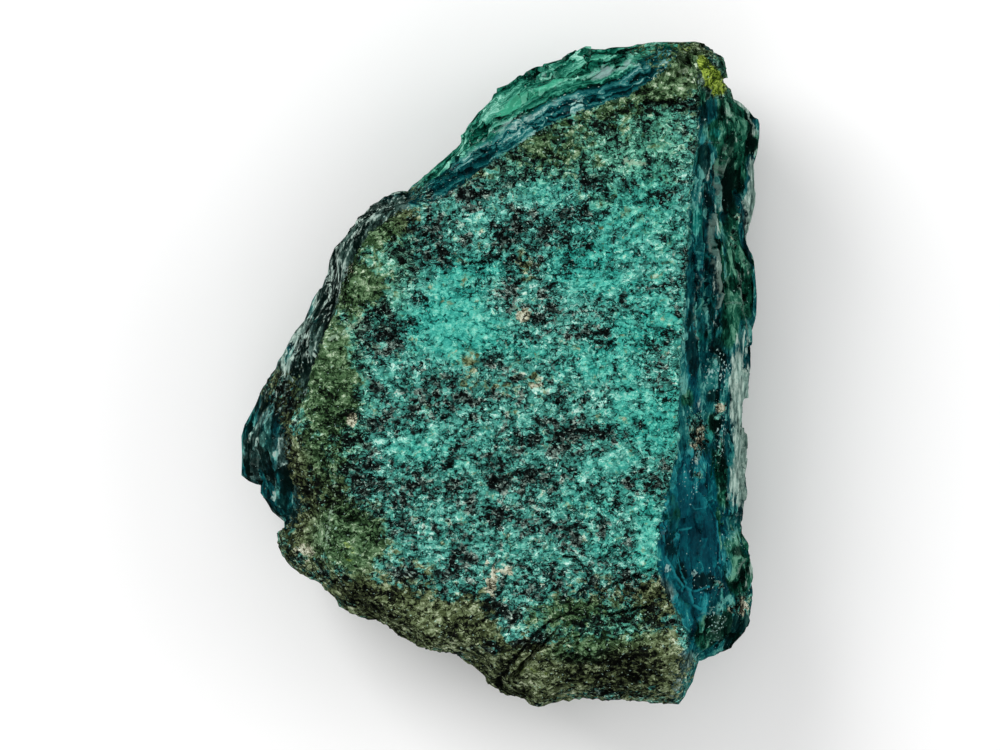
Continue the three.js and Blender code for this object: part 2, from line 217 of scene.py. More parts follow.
class Stain(Enum):
    """What a place of the stone is stained or made of, and the sheen, glints and shade painted on it, each a
    named measure on the mesh.
    """

    DARK = "dark"  # black grains, and painted shade in the gaps between grains
    BRIGHT = "bright"  # clean blue-green grains
    OLIVE = "olive"
    OCHRE = "ochre"
    LIME = "lime"
    GREEN = "green"  # green rather than blue-green
    BLUE = "blue"
    DEEP = "deep"  # nearly black glass, and painted shade in the hollows of the glass
    PAINTED_SHEEN = "painted_sheen"  # painted sheen: grey-green reflections on steep glassy walls and on the malachite band
    GLOW = "glow"  # thin bright places of the glass
    RUBBLE = "rubble"  # grains stuck on the glass
    PAINTED_GLINT = "painted_glint"  # painted glints: small white highlights on the glass and on the malachite band


# How strong each stain is where no patch lies. The others aren't there at all.
GROUND: dict[Stain, float] = {
    Stain.DARK: 0.36, Stain.BRIGHT: 0.15, Stain.OLIVE: 0.06,
    Stain.GREEN: 0.12, Stain.BLUE: 0.15, Stain.DEEP: 0.12,
}

# What each side adds to the ground, off the broad face.
SIDE_STAINS: dict[Side, dict[Stain, float]] = {
    Side.CREST: {Stain.OLIVE: 0.5, Stain.OCHRE: 0.04, Stain.GREEN: 0.4, Stain.DARK: 0.15},
    Side.FOOT: {Stain.OLIVE: 0.4, Stain.OCHRE: 0.04, Stain.DARK: 0.12},
    Side.CORNER: {
        Stain.OLIVE: 0.35, Stain.OCHRE: 0.02, Stain.DARK: 0.15, Stain.DEEP: 0.24, Stain.BLUE: -0.3,
    },
    Side.FLANK: {
        # The flank gets painted sheen on its glassy facets and painted shade in its hollows.
        Stain.DARK: 0.25, Stain.OLIVE: 0.36, Stain.PAINTED_SHEEN: 0.36, Stain.DEEP: 0.34, Stain.GREEN: 0.1,
        Stain.BLUE: -0.3,
    },
    Side.SLOPE: {Stain.GREEN: 0.3, Stain.DARK: 0.1},
}

# What the stone's underside adds.
UNDER_STAINS: dict[Stain, float] = {Stain.OLIVE: 0.25, Stain.OCHRE: 0.16, Stain.DARK: 0.1}

# Where each stain is stronger, or weaker where the strength is below 0.
PATCHES: dict[Stain, list[Patch]] = {
    # Black grains, and painted shade in the gaps between grains.
    Stain.DARK: ovals(
        (18.3, -35.5, 1.5, 2.8, 0.16), (12.4, -37.9, 2.5, 1.2, 0.14), (21.8, -35.2, 1.5, 2.2, -0.2),
        (-20.6, -19.6, 2.2, 1.5, 0.12), (10.2, 19.2, 2.8, 2.2, 0.16), (0.4, 9.4, 2.2, 2.2, 0.26),
        (5.3, 14.3, 2.2, 2.2, -0.26), (-19.6, -16.5, 2.0, 3.0, 0.12), (-4.8, -20.2, 2.5, 2.2, 0.12),
        (2.8, -0.5, 3.2, 2.2, -0.14), (4.8, -10.3, 3.0, 2.2, -0.18), (14.9, 29.1, 3.2, 2.0, 0.1),
        (-10.0, -25.1, 2.5, 2.2, 0.08), (12.4, -31.3, 5.0, 3.8, 0.12), (21.3, 36.4, 2.8, 2.8, -0.5),
        (30.2, -28.4, 0.8, 1.9, 0.5), (29.0, -28.9, 1.0, 0.8, 0.5), (24.7, -7.2, 1.2, 2.8, 0.3),
        (15.5, -36.2, 2.0, 2.5, 0.3), (4.1, -36.4, 2.2, 2.0, -0.3), (12.4, 23.5, 3.4, 2.0, 0.26, 10),
        (3.2, 18.2, 5.2, 1.7, 0.25, 15), (2.0, 14.0, 7.4, 2.2, 0.3, 5), (-8.5, 15.5, 3.0, 2.7, 0.18),
        (-13.2, 6.3, 4.2, 2.7, 0.3, -20), (-18.4, -11.6, 3.2, 5.7, 0.1), (-20.2, -2.3, 2.7, 3.2, 0.22),
        (-19.3, 14.0, 1.5, 4.2, 0.35, 10), (2.6, -12.6, 6.2, 1.4, 0.28, 8),
        (-3.8, -10.1, 7.4, 2.0, 0.16, 5), (11.2, -6.7, 7.1, 1.5, 0.3, 6), (13.4, -29.4, 4.6, 2.2, 0.2),
        (5.7, -24.5, 3.2, 1.7, 0.15), (16.0, -35.4, 2.2, 2.4, 0.4), (-6.0, -25.7, 4.2, 1.7, 0.22, -12),
        (-10.3, 19.0, 4.2, 1.5, 0.2, 10), (-1.1, 23.9, 6.8, 1.1, 0.2, 8), (24.3, 33.0, 1.5, 1.7, 0.35),
        (18.0, 33.0, 5.7, 0.8, 0.26, 5), (-14.0, -15.3, 3.2, 2.5, 0.14), (-0.5, -32.5, 5.4, 1.7, 0.15, -20),
        (-2.3, -28.2, 3.2, 1.2, 0.15, -15), (19.8, 34.0, 2.0, 1.4, 0.2), (0.7, -39.9, 3.2, 1.2, 0.35),
        (7.5, -35.6, 3.4, 1.2, 0.15), (-7.3, -0.5, 4.4, 1.2, 0.18, 8), (7.5, -3.0, 3.7, 1.0, 0.18),
        (5.7, 26.8, 2.7, 1.0, 0.14), (20.4, 3.8, 2.0, 2.0, 0.14), (23.5, 13.7, 1.0, 2.7, 0.3),
        (-2.3, -17.7, 4.7, 1.1, 0.16, 8), (-11.6, -5.4, 3.7, 1.5, 0.16, 10),
        (17.4, -26.4, 3.7, 1.7, 0.22, -25), (19.8, -14.0, 1.7, 1.5, 0.26), (4.4, -7.9, 4.2, 1.1, 0.2, 5),
        (-15.9, -27.6, 4.9, 1.5, 0.22, -24), (-3.6, 10.6, 1.7, 1.0, 0.34, 10),
        (13.1, 30.9, 3.7, 1.1, 0.1, 5), (20.4, -32.5, 2.7, 2.2, 0.05), (17.4, -12.8, 2.7, 1.2, 0.16, 10),
        (-13.4, 21.7, 3.7, 1.0, 0.22, 20), (-18.6, -7.6, 2.1, 1.0, 0.3), (-17.9, -13.4, 2.5, 2.8, 0.22),
        (-22.5, -14.3, 2.5, 2.0, 0.35), (-27.3, -3.2, 1.5, 2.2, 0.6), (-27.7, -10.1, 0.8, 1.5, 0.9, 20),
        (-19.0, 14.5, 1.2, 2.0, 0.4), (-21.8, 3.2, 2.8, 4.5, -0.4), (-18.3, -20.8, 3.8, 3.0, -0.2),
        (-22.8, -19.5, 1.2, 1.8, -0.4), (-15.3, 11.8, 2.5, 2.8, -0.25), (-5.4, 6.7, 5.7, 4.7, -0.34),
        (-3.6, 13.0, 4.9, 1.7, -0.16, 5), (15.9, 16.7, 6.2, 7.6, -0.06), (12.4, 1.4, 5.4, 2.2, -0.22),
        (17.4, -4.4, 4.2, 3.2, -0.2), (18.4, -20.0, 1.7, 4.9, -0.26), (19.2, 27.8, 3.7, 3.2, -0.04),
        (13.7, -10.3, 4.9, 2.0, -0.14), (-9.1, -8.9, 4.2, 3.2, -0.1), (5.7, 23.2, 3.4, 2.0, -0.16),
    ),
    Stain.BRIGHT: ovals(
        (19.2, 24.7, 2.5, 1.8, 0.3), (0.4, 9.4, 2.2, 2.2, -0.4), (-5.4, 6.7, 5.7, 4.7, 0.75),
        (-3.6, 13.3, 4.9, 1.7, 0.45, 5), (15.9, 16.7, 6.2, 7.6, 0.3), (9.4, 14.0, 3.9, 3.2, 0.4),
        (17.4, 5.7, 5.4, 2.5, 0.5, 10), (12.4, 1.4, 5.4, 2.2, 0.5), (17.4, -4.4, 4.2, 3.2, 0.5),
        (18.4, -20.0, 1.7, 4.9, 0.5), (19.2, 27.8, 3.7, 3.2, 0.2), (12.4, -15.3, 4.2, 2.5, 0.25),
        (5.7, 23.2, 3.4, 2.0, 0.35), (13.7, 10.3, 4.9, 1.7, 0.2), (2.6, 3.6, 3.9, 1.7, 0.3),
        (13.7, -10.3, 4.9, 2.0, 0.2), (-9.1, -8.9, 4.2, 3.2, 0.3), (-18.1, -0.7, 3.2, 3.0, 0.2),
        (19.8, -7.9, 2.7, 2.2, 0.4), (17.4, 21.1, 4.4, 2.7, 0.35), (13.7, -21.2, 3.2, 1.7, 0.25),
        (22.3, -2.3, 2.2, 3.7, 0.3),
    ),
    Stain.OLIVE: ovals(
        (-15.4, 11.3, 2.0, 2.2, 0.26), (18.3, 30.0, 4.2, 2.0, 0.12), (13.2, 22.2, 2.8, 1.8, 0.1),
        (-20.8, -15.3, 2.2, 2.8, 0.5), (14.9, -30.0, 2.8, 2.2, -0.3), (-19.6, -10.6, 2.0, 2.2, 0.3),
        (-10.2, -24.9, 2.8, 2.2, 0.3), (6.5, -29.1, 4.2, 2.0, 0.2, 15), (21.1, -36.5, 1.5, 3.2, 0.5),
        (13.7, -30.7, 6.2, 2.8, 0.12), (12.4, -28.2, 6.2, 3.8, 0.34), (-14.6, 18.6, 4.4, 2.4, 0.75, 20),
        (-17.5, 10.6, 3.6, 2.6, 0.45), (-21.8, 3.8, 3.0, 3.8, 0.8), (-20.8, -2.3, 3.5, 4.2, 0.85),
        (-18.3, -19.6, 3.5, 3.2, 0.75), (-23.0, -19.6, 2.0, 2.2, 0.7), (-12.8, -29.1, 5.6, 1.8, 0.5, -28),
        (-3.6, 1.4, 1.2, 2.5, 0.35), (2.0, -1.1, 5.0, 1.5, 0.28, 5), (3.8, 13.3, 1.8, 2.0, 0.3),
        (-24.0, -10.0, 3.0, 3.4, 0.6), (-17.6, -21.4, 3.6, 2.6, 0.6), (-13.2, -28.2, 5.2, 2.0, 0.8, -28),
        (-7.0, -30.4, 5.0, 2.6, 0.75, -12), (-2.8, -30.0, 3.0, 3.4, 0.5), (2.6, -36.6, 4.4, 3.2, 0.9),
        (12.6, -35.2, 9.0, 2.6, 0.7), (20.0, -31.4, 3.2, 3.4, 0.3), (19.4, -26.6, 2.0, 2.0, 0.5),
        (21.0, 37.4, 5.0, 3.4, 0.7), (16.6, 34.6, 4.0, 2.0, 0.35, 15), (7.4, 29.2, 6.0, 3.6, 0.24, 20),
        (11.0, 26.0, 5.0, 3.0, 0.14, 10), (12.8, 31.6, 4.0, 1.6, 0.2, 10), (4.8, 28.6, 3.6, 2.4, 0.2),
        (-3.0, 25.0, 3.0, 1.6, 0.25, 20), (-19.6, 13.6, 2.6, 4.6, 0.7, 10),
    ),
    Stain.OCHRE: ovals(
        (21.8, -35.5, 1.8, 2.5, 0.14), (-3.6, -31.0, 2.8, 1.2, 0.14, -15), (0.1, 4.2, 2.0, 1.8, 0.22),
        (0.1, -25.1, 2.0, 2.0, 0.12), (30.4, -27.4, 0.8, 0.6, 0.35), (26.5, -7.4, 1.4, 3.1, 0.25),
        (24.2, -5.1, 0.9, 1.1, 0.3), (3.2, 7.5, 1.3, 1.0, 0.8, 20), (2.6, -0.6, 4.4, 1.0, 0.28),
        (5.0, -1.4, 2.0, 0.8, 0.35, 10), (-1.0, -23.6, 1.8, 2.6, 0.42, 10), (2.0, -23.6, 1.4, 1.8, 0.4),
        (-4.4, -25.6, 1.2, 0.9, 0.4), (-0.8, -27.2, 1.0, 2.0, 0.4, 10), (-18.9, 14.6, 1.6, 2.6, 0.4, 10),
        (-18.4, -6.0, 1.0, 1.8, 0.4), (0.6, 3.2, 1.2, 2.0, 0.3), (-22.8, -21.4, 3.4, 2.6, 0.3),
        (21.4, 36.2, 3.4, 2.4, 0.42), (19.6, -33.6, 3.0, 2.4, 0.22), (2.0, -37.0, 4.0, 2.6, 0.25),
        (-9.0, 19.0, 4.0, 1.4, 0.2, 8), (22.6, 12.6, 0.9, 4.5, 0.35), (24.4, -7.5, 0.4, 1.4, 0.5),
        (23.8, -8.8, 0.6, 0.5, 0.8), (25.2, -7.5, 0.6, 2.0, 0.5), (27.5, -3.9, 0.8, 0.6, 0.9),
        (30.6, -29.0, 0.6, 1.2, 0.8), (28.5, -29.1, 0.6, 0.5, 0.6), (30.0, 19.6, 0.5, 0.8, 0.6),
        (29.3, 17.1, 0.6, 1.4, 0.5), (27.4, 35.1, 0.6, 0.7, 0.4), (-18.0, -5.2, 0.6, 0.9, 0.7),
        (-13.3, -28.2, 2.0, 1.1, 0.35, -20), (-19.0, 13.7, 1.0, 1.5, 0.25), (-24.5, -22.0, 1.8, 1.2, 0.3),
    ),
    Stain.LIME: ovals(
        (26.8, 36.3, 1.5, 1.2, 1, -40), (25.6, 38.3, 0.9, 1.6, 0.9, 25), (23.0, 40.8, 1.4, 1.2, 0.35),
        (-18.7, -21.8, 1.2, 1.5, 0.35), (-25.0, -2.3, 1.0, 1.5, 0.2), (4.2, -36.4, 2.2, 2.0, 0.26),
    ),
    Stain.GREEN: ovals(
        (17.4, 27.8, 7.5, 4.2, 0.6), (13.2, 21.7, 3.8, 2.5, 0.4), (19.8, 19.2, 2.8, 5.0, 0.3),
        (6.5, -29.1, 4.2, 2.0, 0.5, 15), (9.4, -34.4, 3.8, 1.2, 0.5), (12.4, -30.7, 7.5, 3.2, 0.7),
        (29.4, 37.5, 1.8, 3.5, 1), (25.8, 37.0, 1.9, 2.5, 0.5), (-20.6, -3.0, 4.2, 10.6, 0.95),
        (-15.3, 14.0, 5.2, 7.5, 0.75), (-18.3, -20.2, 5.0, 4.2, 0.9), (10.0, 29.6, 13.0, 4.4, 0.8, 20),
        (20.0, 37.0, 5.0, 4.0, 0.4), (24.8, 34.9, 0.7, 1.6, 0.5), (27.4, 30.1, 1.5, 1.4, 1),
        (29.9, 30.5, 2.8, 3.5, 0.8), (28.9, 26.1, 1.8, 1.6, 0.9), (28.9, 18.2, 1.8, 8.8, 0.6),
        (29.5, 12.6, 0.9, 4.4, 0.7), (31.1, 11.7, 1.2, 4.1, 0.7), (28.8, 6.1, 0.9, 2.2, 0.5),
        (27.8, -12.8, 0.9, 4.2, 0.8), (23.2, -2.9, 0.6, 1.1, 0.7), (26.6, -5.9, 0.8, 1.1, 0.6),
        (29.8, -20.8, 1.9, 2.2, 0.65), (30.1, -24.9, 1.5, 2.5, 1), (26.5, -30.8, 1.4, 1.5, 0.8),
        (25.6, -33.0, 1.1, 1.2, 0.5), (29.5, -31.4, 1.9, 3.4, 0.4),
    ),
    Stain.BLUE: ovals(
        (29.2, 37.7, 2.1, 3.7, -0.4), (25.5, 30.4, 0.8, 4.1, 0.35), (24.6, 14.6, 1.0, 3.1, 0.3),
        (23.7, 3.2, 0.6, 3.5, 0.7), (24.5, -3.3, 0.4, 1.6, 0.7), (24.1, -19.4, 4.0, 8.9, 1),
        (21.9, -14.9, 0.8, 3.1, 0.4), (20.0, -21.4, 1.1, 3.4, 0.8), (23.2, -30.5, 1.9, 3.8, 0.5),
        (23.8, -1.1, 0.6, 1.6, 0.4),
    ),
    # Nearly black glass, and painted shade in the vein's hollows.
    Stain.DEEP: ovals(
        (26.7, -30.8, 1.6, 2.2, 0.3), (25.5, 30.4, 0.8, 4.1, 0.3), (23.7, 3.5, 0.7, 3.8, 0.7),
        (27.9, 30.1, 1.4, 1.9, 0.2), (30.0, -20.9, 1.4, 2.3, -0.05), (28.6, 13.2, 0.9, 3.8, 0.25),
        (29.6, 37.4, 1.5, 3.4, 0.45), (26.1, -25.5, 1.0, 2.5, 0.35), (29.4, -25.2, 1.5, 2.8, 0.15),
        (25.5, 32.6, 0.8, 1.4, 0.3), (25.2, -20.5, 2.6, 2.5, 0.12), (25.4, 27.1, 0.6, 1.4, 0.9),
        (25.6, 25.0, 0.4, 1.0, 0.7), (25.8, 22.0, 0.4, 1.5, 0.5), (27.6, 32.6, 0.6, 1.4, 0.6),
        (31.6, 29.8, 0.8, 1.5, 0.9), (28.6, 23.5, 1.8, 3.5, 0.75), (31.0, 11.9, 1.2, 4.4, 0.4),
        (28.6, 16.5, 2.1, 1.0, 0.2), (26.5, -5.9, 0.8, 1.1, 0.9), (27.8, -10.2, 0.9, 1.5, 0.5),
        (28.3, -14.4, 0.4, 2.6, 0.7), (21.0, -21.1, 0.9, 2.6, 0.5), (22.2, -24.7, 0.6, 2.3, 0.6),
        (25.2, -25.5, 1.6, 1.0, 0.45), (29.9, -21.8, 0.9, 0.8, 0.6), (29.9, -25.2, 0.8, 1.5, 0.5),
        (29.8, -32.0, 1.9, 2.5, 0.9), (26.4, -30.6, 0.9, 0.9, 0.4), (30.7, 2.2, 0.4, 1.0, 0.5),
        (27.2, 2.5, 1.6, 0.8, 0.35), (26.4, -2.4, 0.8, 0.9, 0.35), (25.1, -2.1, 0.3, 0.6, 0.4),
        (23.9, -11.8, 0.3, 1.8, 0.5), (25.4, 8.9, 1.2, 1.9, 0.1),
    ),
    # Painted sheen on the steep glassy walls and along the malachite band.
    Stain.PAINTED_SHEEN: ovals(
        (30.9, 11.7, 1.1, 4.1, 0.36), (30.6, -5.8, 0.2, 3.8, 0.25), (30.3, -5.0, 1.4, 4.7, 0.72, 4),
        (30.2, -12.4, 1.5, 4.8, 0.85, -5), (31.1, 1.4, 1.0, 4.4, 0.5), (31.9, 22.6, 0.8, 5.6, 0.85),
        (30.6, 33.5, 1.9, 0.4, 0.65, -35), (31.9, 32.0, 0.6, 1.0, 0.5), (29.6, 1.5, 0.6, 4.0, 0.6),
        (28.6, 32.4, 0.6, 1.6, 0.3), (29.2, 29.8, 0.8, 1.0, 0.35), (26.2, 26.1, 0.3, 2.5, 0.5, -22),
        (27.2, 18.8, 0.4, 1.8, 0.5), (24.7, 22.4, 0.4, 2.4, 0.3), (26.6, 20.9, 0.6, 1.4, 0.35),
        (26.7, 12.6, 0.4, 4.8, 0.38), (29.4, 12.9, 0.4, 3.4, 0.2), (26.8, 6.1, 0.8, 1.1, 0.3),
        (25.3, 13.4, 0.3, 0.9, 0.45), (24.8, -4.2, 0.4, 1.9, 0.4), (24.6, -10.1, 0.6, 1.1, 0.4),
        (28.2, -21.5, 0.4, 2.2, 0.3), (31.2, -24.6, 0.4, 2.1, 0.6), (24.7, -34.6, 0.4, 0.9, 0.4),
        (14.1, 38.0, 4.2, 0.9, 0.65, 14), (7.6, 39.1, 5.2, 0.8, 0.35, 28), (7.6, 34.0, 3.6, 0.9, 0.4, 24),
        (2.0, 31.2, 2.4, 1.0, 0.4, 30), (-2.2, 29.2, 2.2, 0.9, 0.4, 40), (0.7, 32.1, 1.2, 2.5, 0.3, -30),
        (20.7, 41.1, 1.5, 0.6, 0.3), (-30.4, -7.6, 1.8, 1.1, 0.28, -20), (-28.9, -9.9, 4.5, 5.8, 0.06),
        (-29.6, -12.4, 2.0, 2.8, 0.12, 30), (-26.1, -16.1, 1.8, 1.8, 0.1),
        (-27.1, 0.5, 0.8, 3.2, 0.25, -28), (-24.9, 5.8, 0.6, 1.8, 0.4, -28),
    ),
    Stain.GLOW: ovals(
        (25.1, -5.5, 0.9, 1.8, 0.4), (24.6, 14.6, 1.0, 3.1, 0.2), (25.9, 14.2, 0.6, 3.4, 0.32),
        (27.0, 30.2, 0.9, 0.9, 0.85), (26.7, 32.7, 0.4, 1.3, 0.35), (24.5, 19.3, 0.8, 1.9, 1.3),
        (24.1, 23.9, 0.2, 0.6, 0.5), (25.8, 4.8, 1.0, 1.0, 0.75), (23.6, -1.2, 0.5, 1.3, 0.5),
        (26.1, -7.6, 0.6, 0.8, 0.8), (25.5, -11.6, 0.6, 0.9, 0.4), (24.1, -14.8, 0.2, 1.0, 0.5),
        (26.1, -16.7, 1.0, 0.8, 0.3), (19.5, -21.2, 0.6, 3.2, 0.7), (23.2, -29.4, 0.6, 0.7, 0.35),
        (27.6, -27.0, 0.4, 0.5, 0.6), (23.8, -3.2, 0.4, 1.2, 0.4), (7.6, 36.8, 6.2, 0.5, 0.8, 28),
        (1.4, 33.7, 3.0, 0.5, 0.7, 45), (17.6, 39.7, 1.7, 0.5, 0.4, 10), (-26.1, 3.0, 0.4, 2.1, 0.9, -24),
        (-22.9, 7.2, 0.5, 0.8, 0.6),
    ),
    Stain.RUBBLE: ovals(
        (26.8, 36.3, 1.5, 1.2, 1.1, -40), (25.6, 38.3, 0.9, 1.6, 0.9, 25), (24.2, -6.8, 0.9, 2.8, 0.75),
        (25.1, -7.5, 0.9, 2.0, 0.7), (27.6, -3.9, 0.9, 0.8, 1), (27.5, -7.7, 0.9, 0.8, 0.5),
        (27.0, -5.0, 0.4, 0.5, 0.7), (27.4, -9.4, 0.5, 0.6, 0.5), (30.6, -28.6, 0.9, 1.8, 1.0),
        (29.0, -28.9, 0.9, 0.6, 0.7), (30.1, 19.6, 0.6, 0.9, 0.8), (29.3, 17.1, 0.6, 1.4, 0.7),
        (27.2, -25.8, 0.6, 0.6, 0.7), (24.7, -12.3, 0.6, 0.6, 0.8), (28.5, -32.6, 0.4, 0.5, 0.7),
        (22.7, 7.2, 0.4, 0.5, 0.8), (27.4, 35.1, 0.6, 0.7, 0.6), (27.4, -29.5, 0.5, 1.0, 0.45),
    ),
    # Painted glints.
    Stain.PAINTED_GLINT: ovals(
        (27.4, 0.6, 1.9, 2.6, 0.45), (27.8, -7.2, 0.9, 2.8, 0.4), (23.8, -12.7, 1.4, 2.8, 0.28),
        (26.1, -25.5, 2.2, 2.5, 0.24), (26.8, -30.5, 1.1, 2.5, 0.35), (24.2, -24.3, 0.4, 0.4, 0.95),
        (20.7, -23.6, 0.3, 0.7, 0.95), (29.5, -20.2, 1.2, 0.9, 0.35), (26.2, 0.6, 0.2, 0.2, 0.9),
        (8.0, 33.6, 4.0, 0.9, 0.22, 24), (1.6, 30.8, 2.2, 1.6, 0.22, 30), (-2.4, 29.2, 1.8, 1.0, 0.22, 30),
        (-26.2, 3.6, 2.4, 2.8, 0.3),
    ),
}

# Open cracks across the broad face, sunk in the relief, their near-black a painted shade.
CRACKS = (
    Trace(0.6, 0.3, ((-0.8, -39.2), (-0.3, -38.6), (0.7, -36.5))),
    Trace(0.25, 0.1, ((0.7, -36.5), (2.6, -34.0), (4.1, -32.1), (6.1, -30.3), (10.6, -28.3))),
    Trace(0.1, 0.16, ((10.6, -28.3), (13.9, -25.7), (17.4, -24.4), (18.8, -23.8))),
    Trace(0.2, 0.1, ((13.9, -29.4), (16.1, -28.8), (18.3, -28.4))),
    Trace(0.14, 0.1, ((7.8, -22.3), (9.4, -22.3), (10.3, -23.4), (11.2, -24.5))),
    Trace(0.2, 0.3, ((18.0, 33.6), (21.0, 33.8), (24.4, 33.2))),
    Trace(0.2, 0.15, ((-5.6, 14.8), (-4.4, 13.9), (-2.4, 13.8), (-1.2, 14.4))),
)

# Thin pale veins.
PALE_LINES = (
    Trace(0.06, 0.12, ((-20.2, -10.8), (-20.4, -15.3), (-21.4, -20.8))),
    Trace(0.25, 0.1, ((15.5, 26.6), (18.0, 26.0))),
    Trace(0.1, 0.3, ((-16.6, 7.2), (-18.4, 5.8), (-20.6, 4.6))),
    Trace(0.1, 0.1, ((-8.5, -24.6), (-7.8, -26.2))),
)

# The raised rings of the dish in the glassy vein.
RINGS = (
    Trace(0.14, 0.14, (
        (23.9, -18.8), (22.6, -19.2), (22.2, -20.5), (22.1, -22.1), (22.2, -23.8), (22.8, -25.5),
        (23.5, -26.5), (24.5, -26.6), (25.6, -26.0),
    )),
    Trace(0.16, 0.16, ((20.9, -17.8), (20.5, -19.6), (20.6, -22.5), (21.6, -24.6), (22.8, -26.5))),
    Trace(0.14, 0.14, ((27.6, -18.0), (27.8, -21.2), (27.5, -23.2))),
    Trace(0.14, 0.2, ((23.5, -26.8), (23.9, -28.0), (24.8, -28.8))),
    Trace(0.08, 0.1, ((23.9, -15.9), (24.2, -16.5), (25.4, -16.2), (26.6, -15.9))),
)

# The long ribs of the glassy vein, raised in the relief, their grey-green a painted sheen.
RIBS = (
    Trace(0.1, 0.12, (
        (28.0, 28.9), (27.8, 28.0), (27.4, 26.8), (27.0, 25.5), (26.8, 24.5), (26.9, 23.2), (27.2, 22.0),
        (27.4, 20.5),
    )),
    Trace(0.22, 0.2, (
        (26.2, 20.0), (26.0, 17.6), (26.3, 15.8), (26.8, 14.2), (27.0, 12.0), (27.1, 10.1), (26.6, 8.5),
    )),
    Trace(0.07, 0.05, ((26.2, 17.0), (26.0, 15.8), (26.2, 14.2), (26.4, 12.6))),
    Trace(0.05, 0.05, ((26.4, 15.1), (26.6, 13.2), (26.9, 10.8))),
    Trace(0.06, 0.06, ((24.1, 12.6), (24.8, 11.8), (23.9, 9.5), (23.8, 7.0), (24.2, 4.5))),
    Trace(0.07, 0.1, ((29.1, 13.2), (29.4, 11.4), (30.0, 9.5), (30.5, 7.6), (31.0, 5.8), (31.1, 3.9))),
    Trace(0.1, 0.1, ((27.9, 8.6), (28.5, 9.1), (29.2, 9.1), (29.9, 8.5))),
    Trace(0.06, 0.06, ((25.4, 29.0), (26.4, 29.0), (27.2, 29.0))),
    Trace(0.1, 0.05, ((26.1, 35.5), (25.9, 34.8), (25.4, 33.8))),
    Trace(0.12, 0.1, ((29.1, -24.9), (29.5, -23.8), (30.0, -22.9), (30.6, -22.9))),
    Trace(0.1, 0.08, ((27.9, -29.9), (27.4, -30.8), (26.6, -31.8))),
    Trace(0.08, 0.08, ((24.5, -29.6), (25.1, -29.2), (25.9, -29.5))),
    Trace(0.1, 0.1, ((26.6, -28.6), (26.1, -29.4))),
    Trace(0.1, 0.1, ((27.1, -29.6), (26.9, -30.6))),
)

TRACES = {"crack": CRACKS, "pale": PALE_LINES, "ring": RINGS, "rib": RIBS}

# How far the walls bulge beyond the solid's, in millimetres, and where they do so more or less.
BULGE = 0.45
BULGES = ovals(
    (32.6, 29.0, 2.5, 5.0, -0.45), (-25.0, -24.0, 5.0, 3.0, 0.7, -30), (-20.0, -28.5, 4.0, 3.0, 0.5, -30),
    (-14.5, -31.5, 4.0, 3.0, 0.2, -30), (-7.4, -35.0, 3.0, 2.5, -0.9, -30), (-28.0, -16.0, 2.0, 2.0, 0.5),
    (-13.5, 22.0, 4.0, 3.0, -0.4, 30), (-18.0, 18.5, 3.0, 4.0, 0.3, -40), (30.5, -33.0, 3.0, 3.0, -0.1),
    (28.6, 37.6, 3.0, 4.5, -0.7), (32.0, 13.5, 2.0, 4.0, 0.5), (31.5, 0.5, 2.0, 4.0, 0.3),
    (30.8, -14.0, 2.0, 3.0, 0.3),
)

# Where bare walls off the vein are glassy too.
GLASSY_BLOCKS = ovals((-30.0, -9.0, 4.0, 5.0, 0.9), (-27.5, -15.5, 3.0, 4.0, 0.8, 30))


# ---------------------------------------------------------------------------------------------------
# Nodes
# ---------------------------------------------------------------------------------------------------

TO_MIDDLE = (-0.5, -0.5, -0.5)  # turns three chances of 0 to 1 into ones around 0


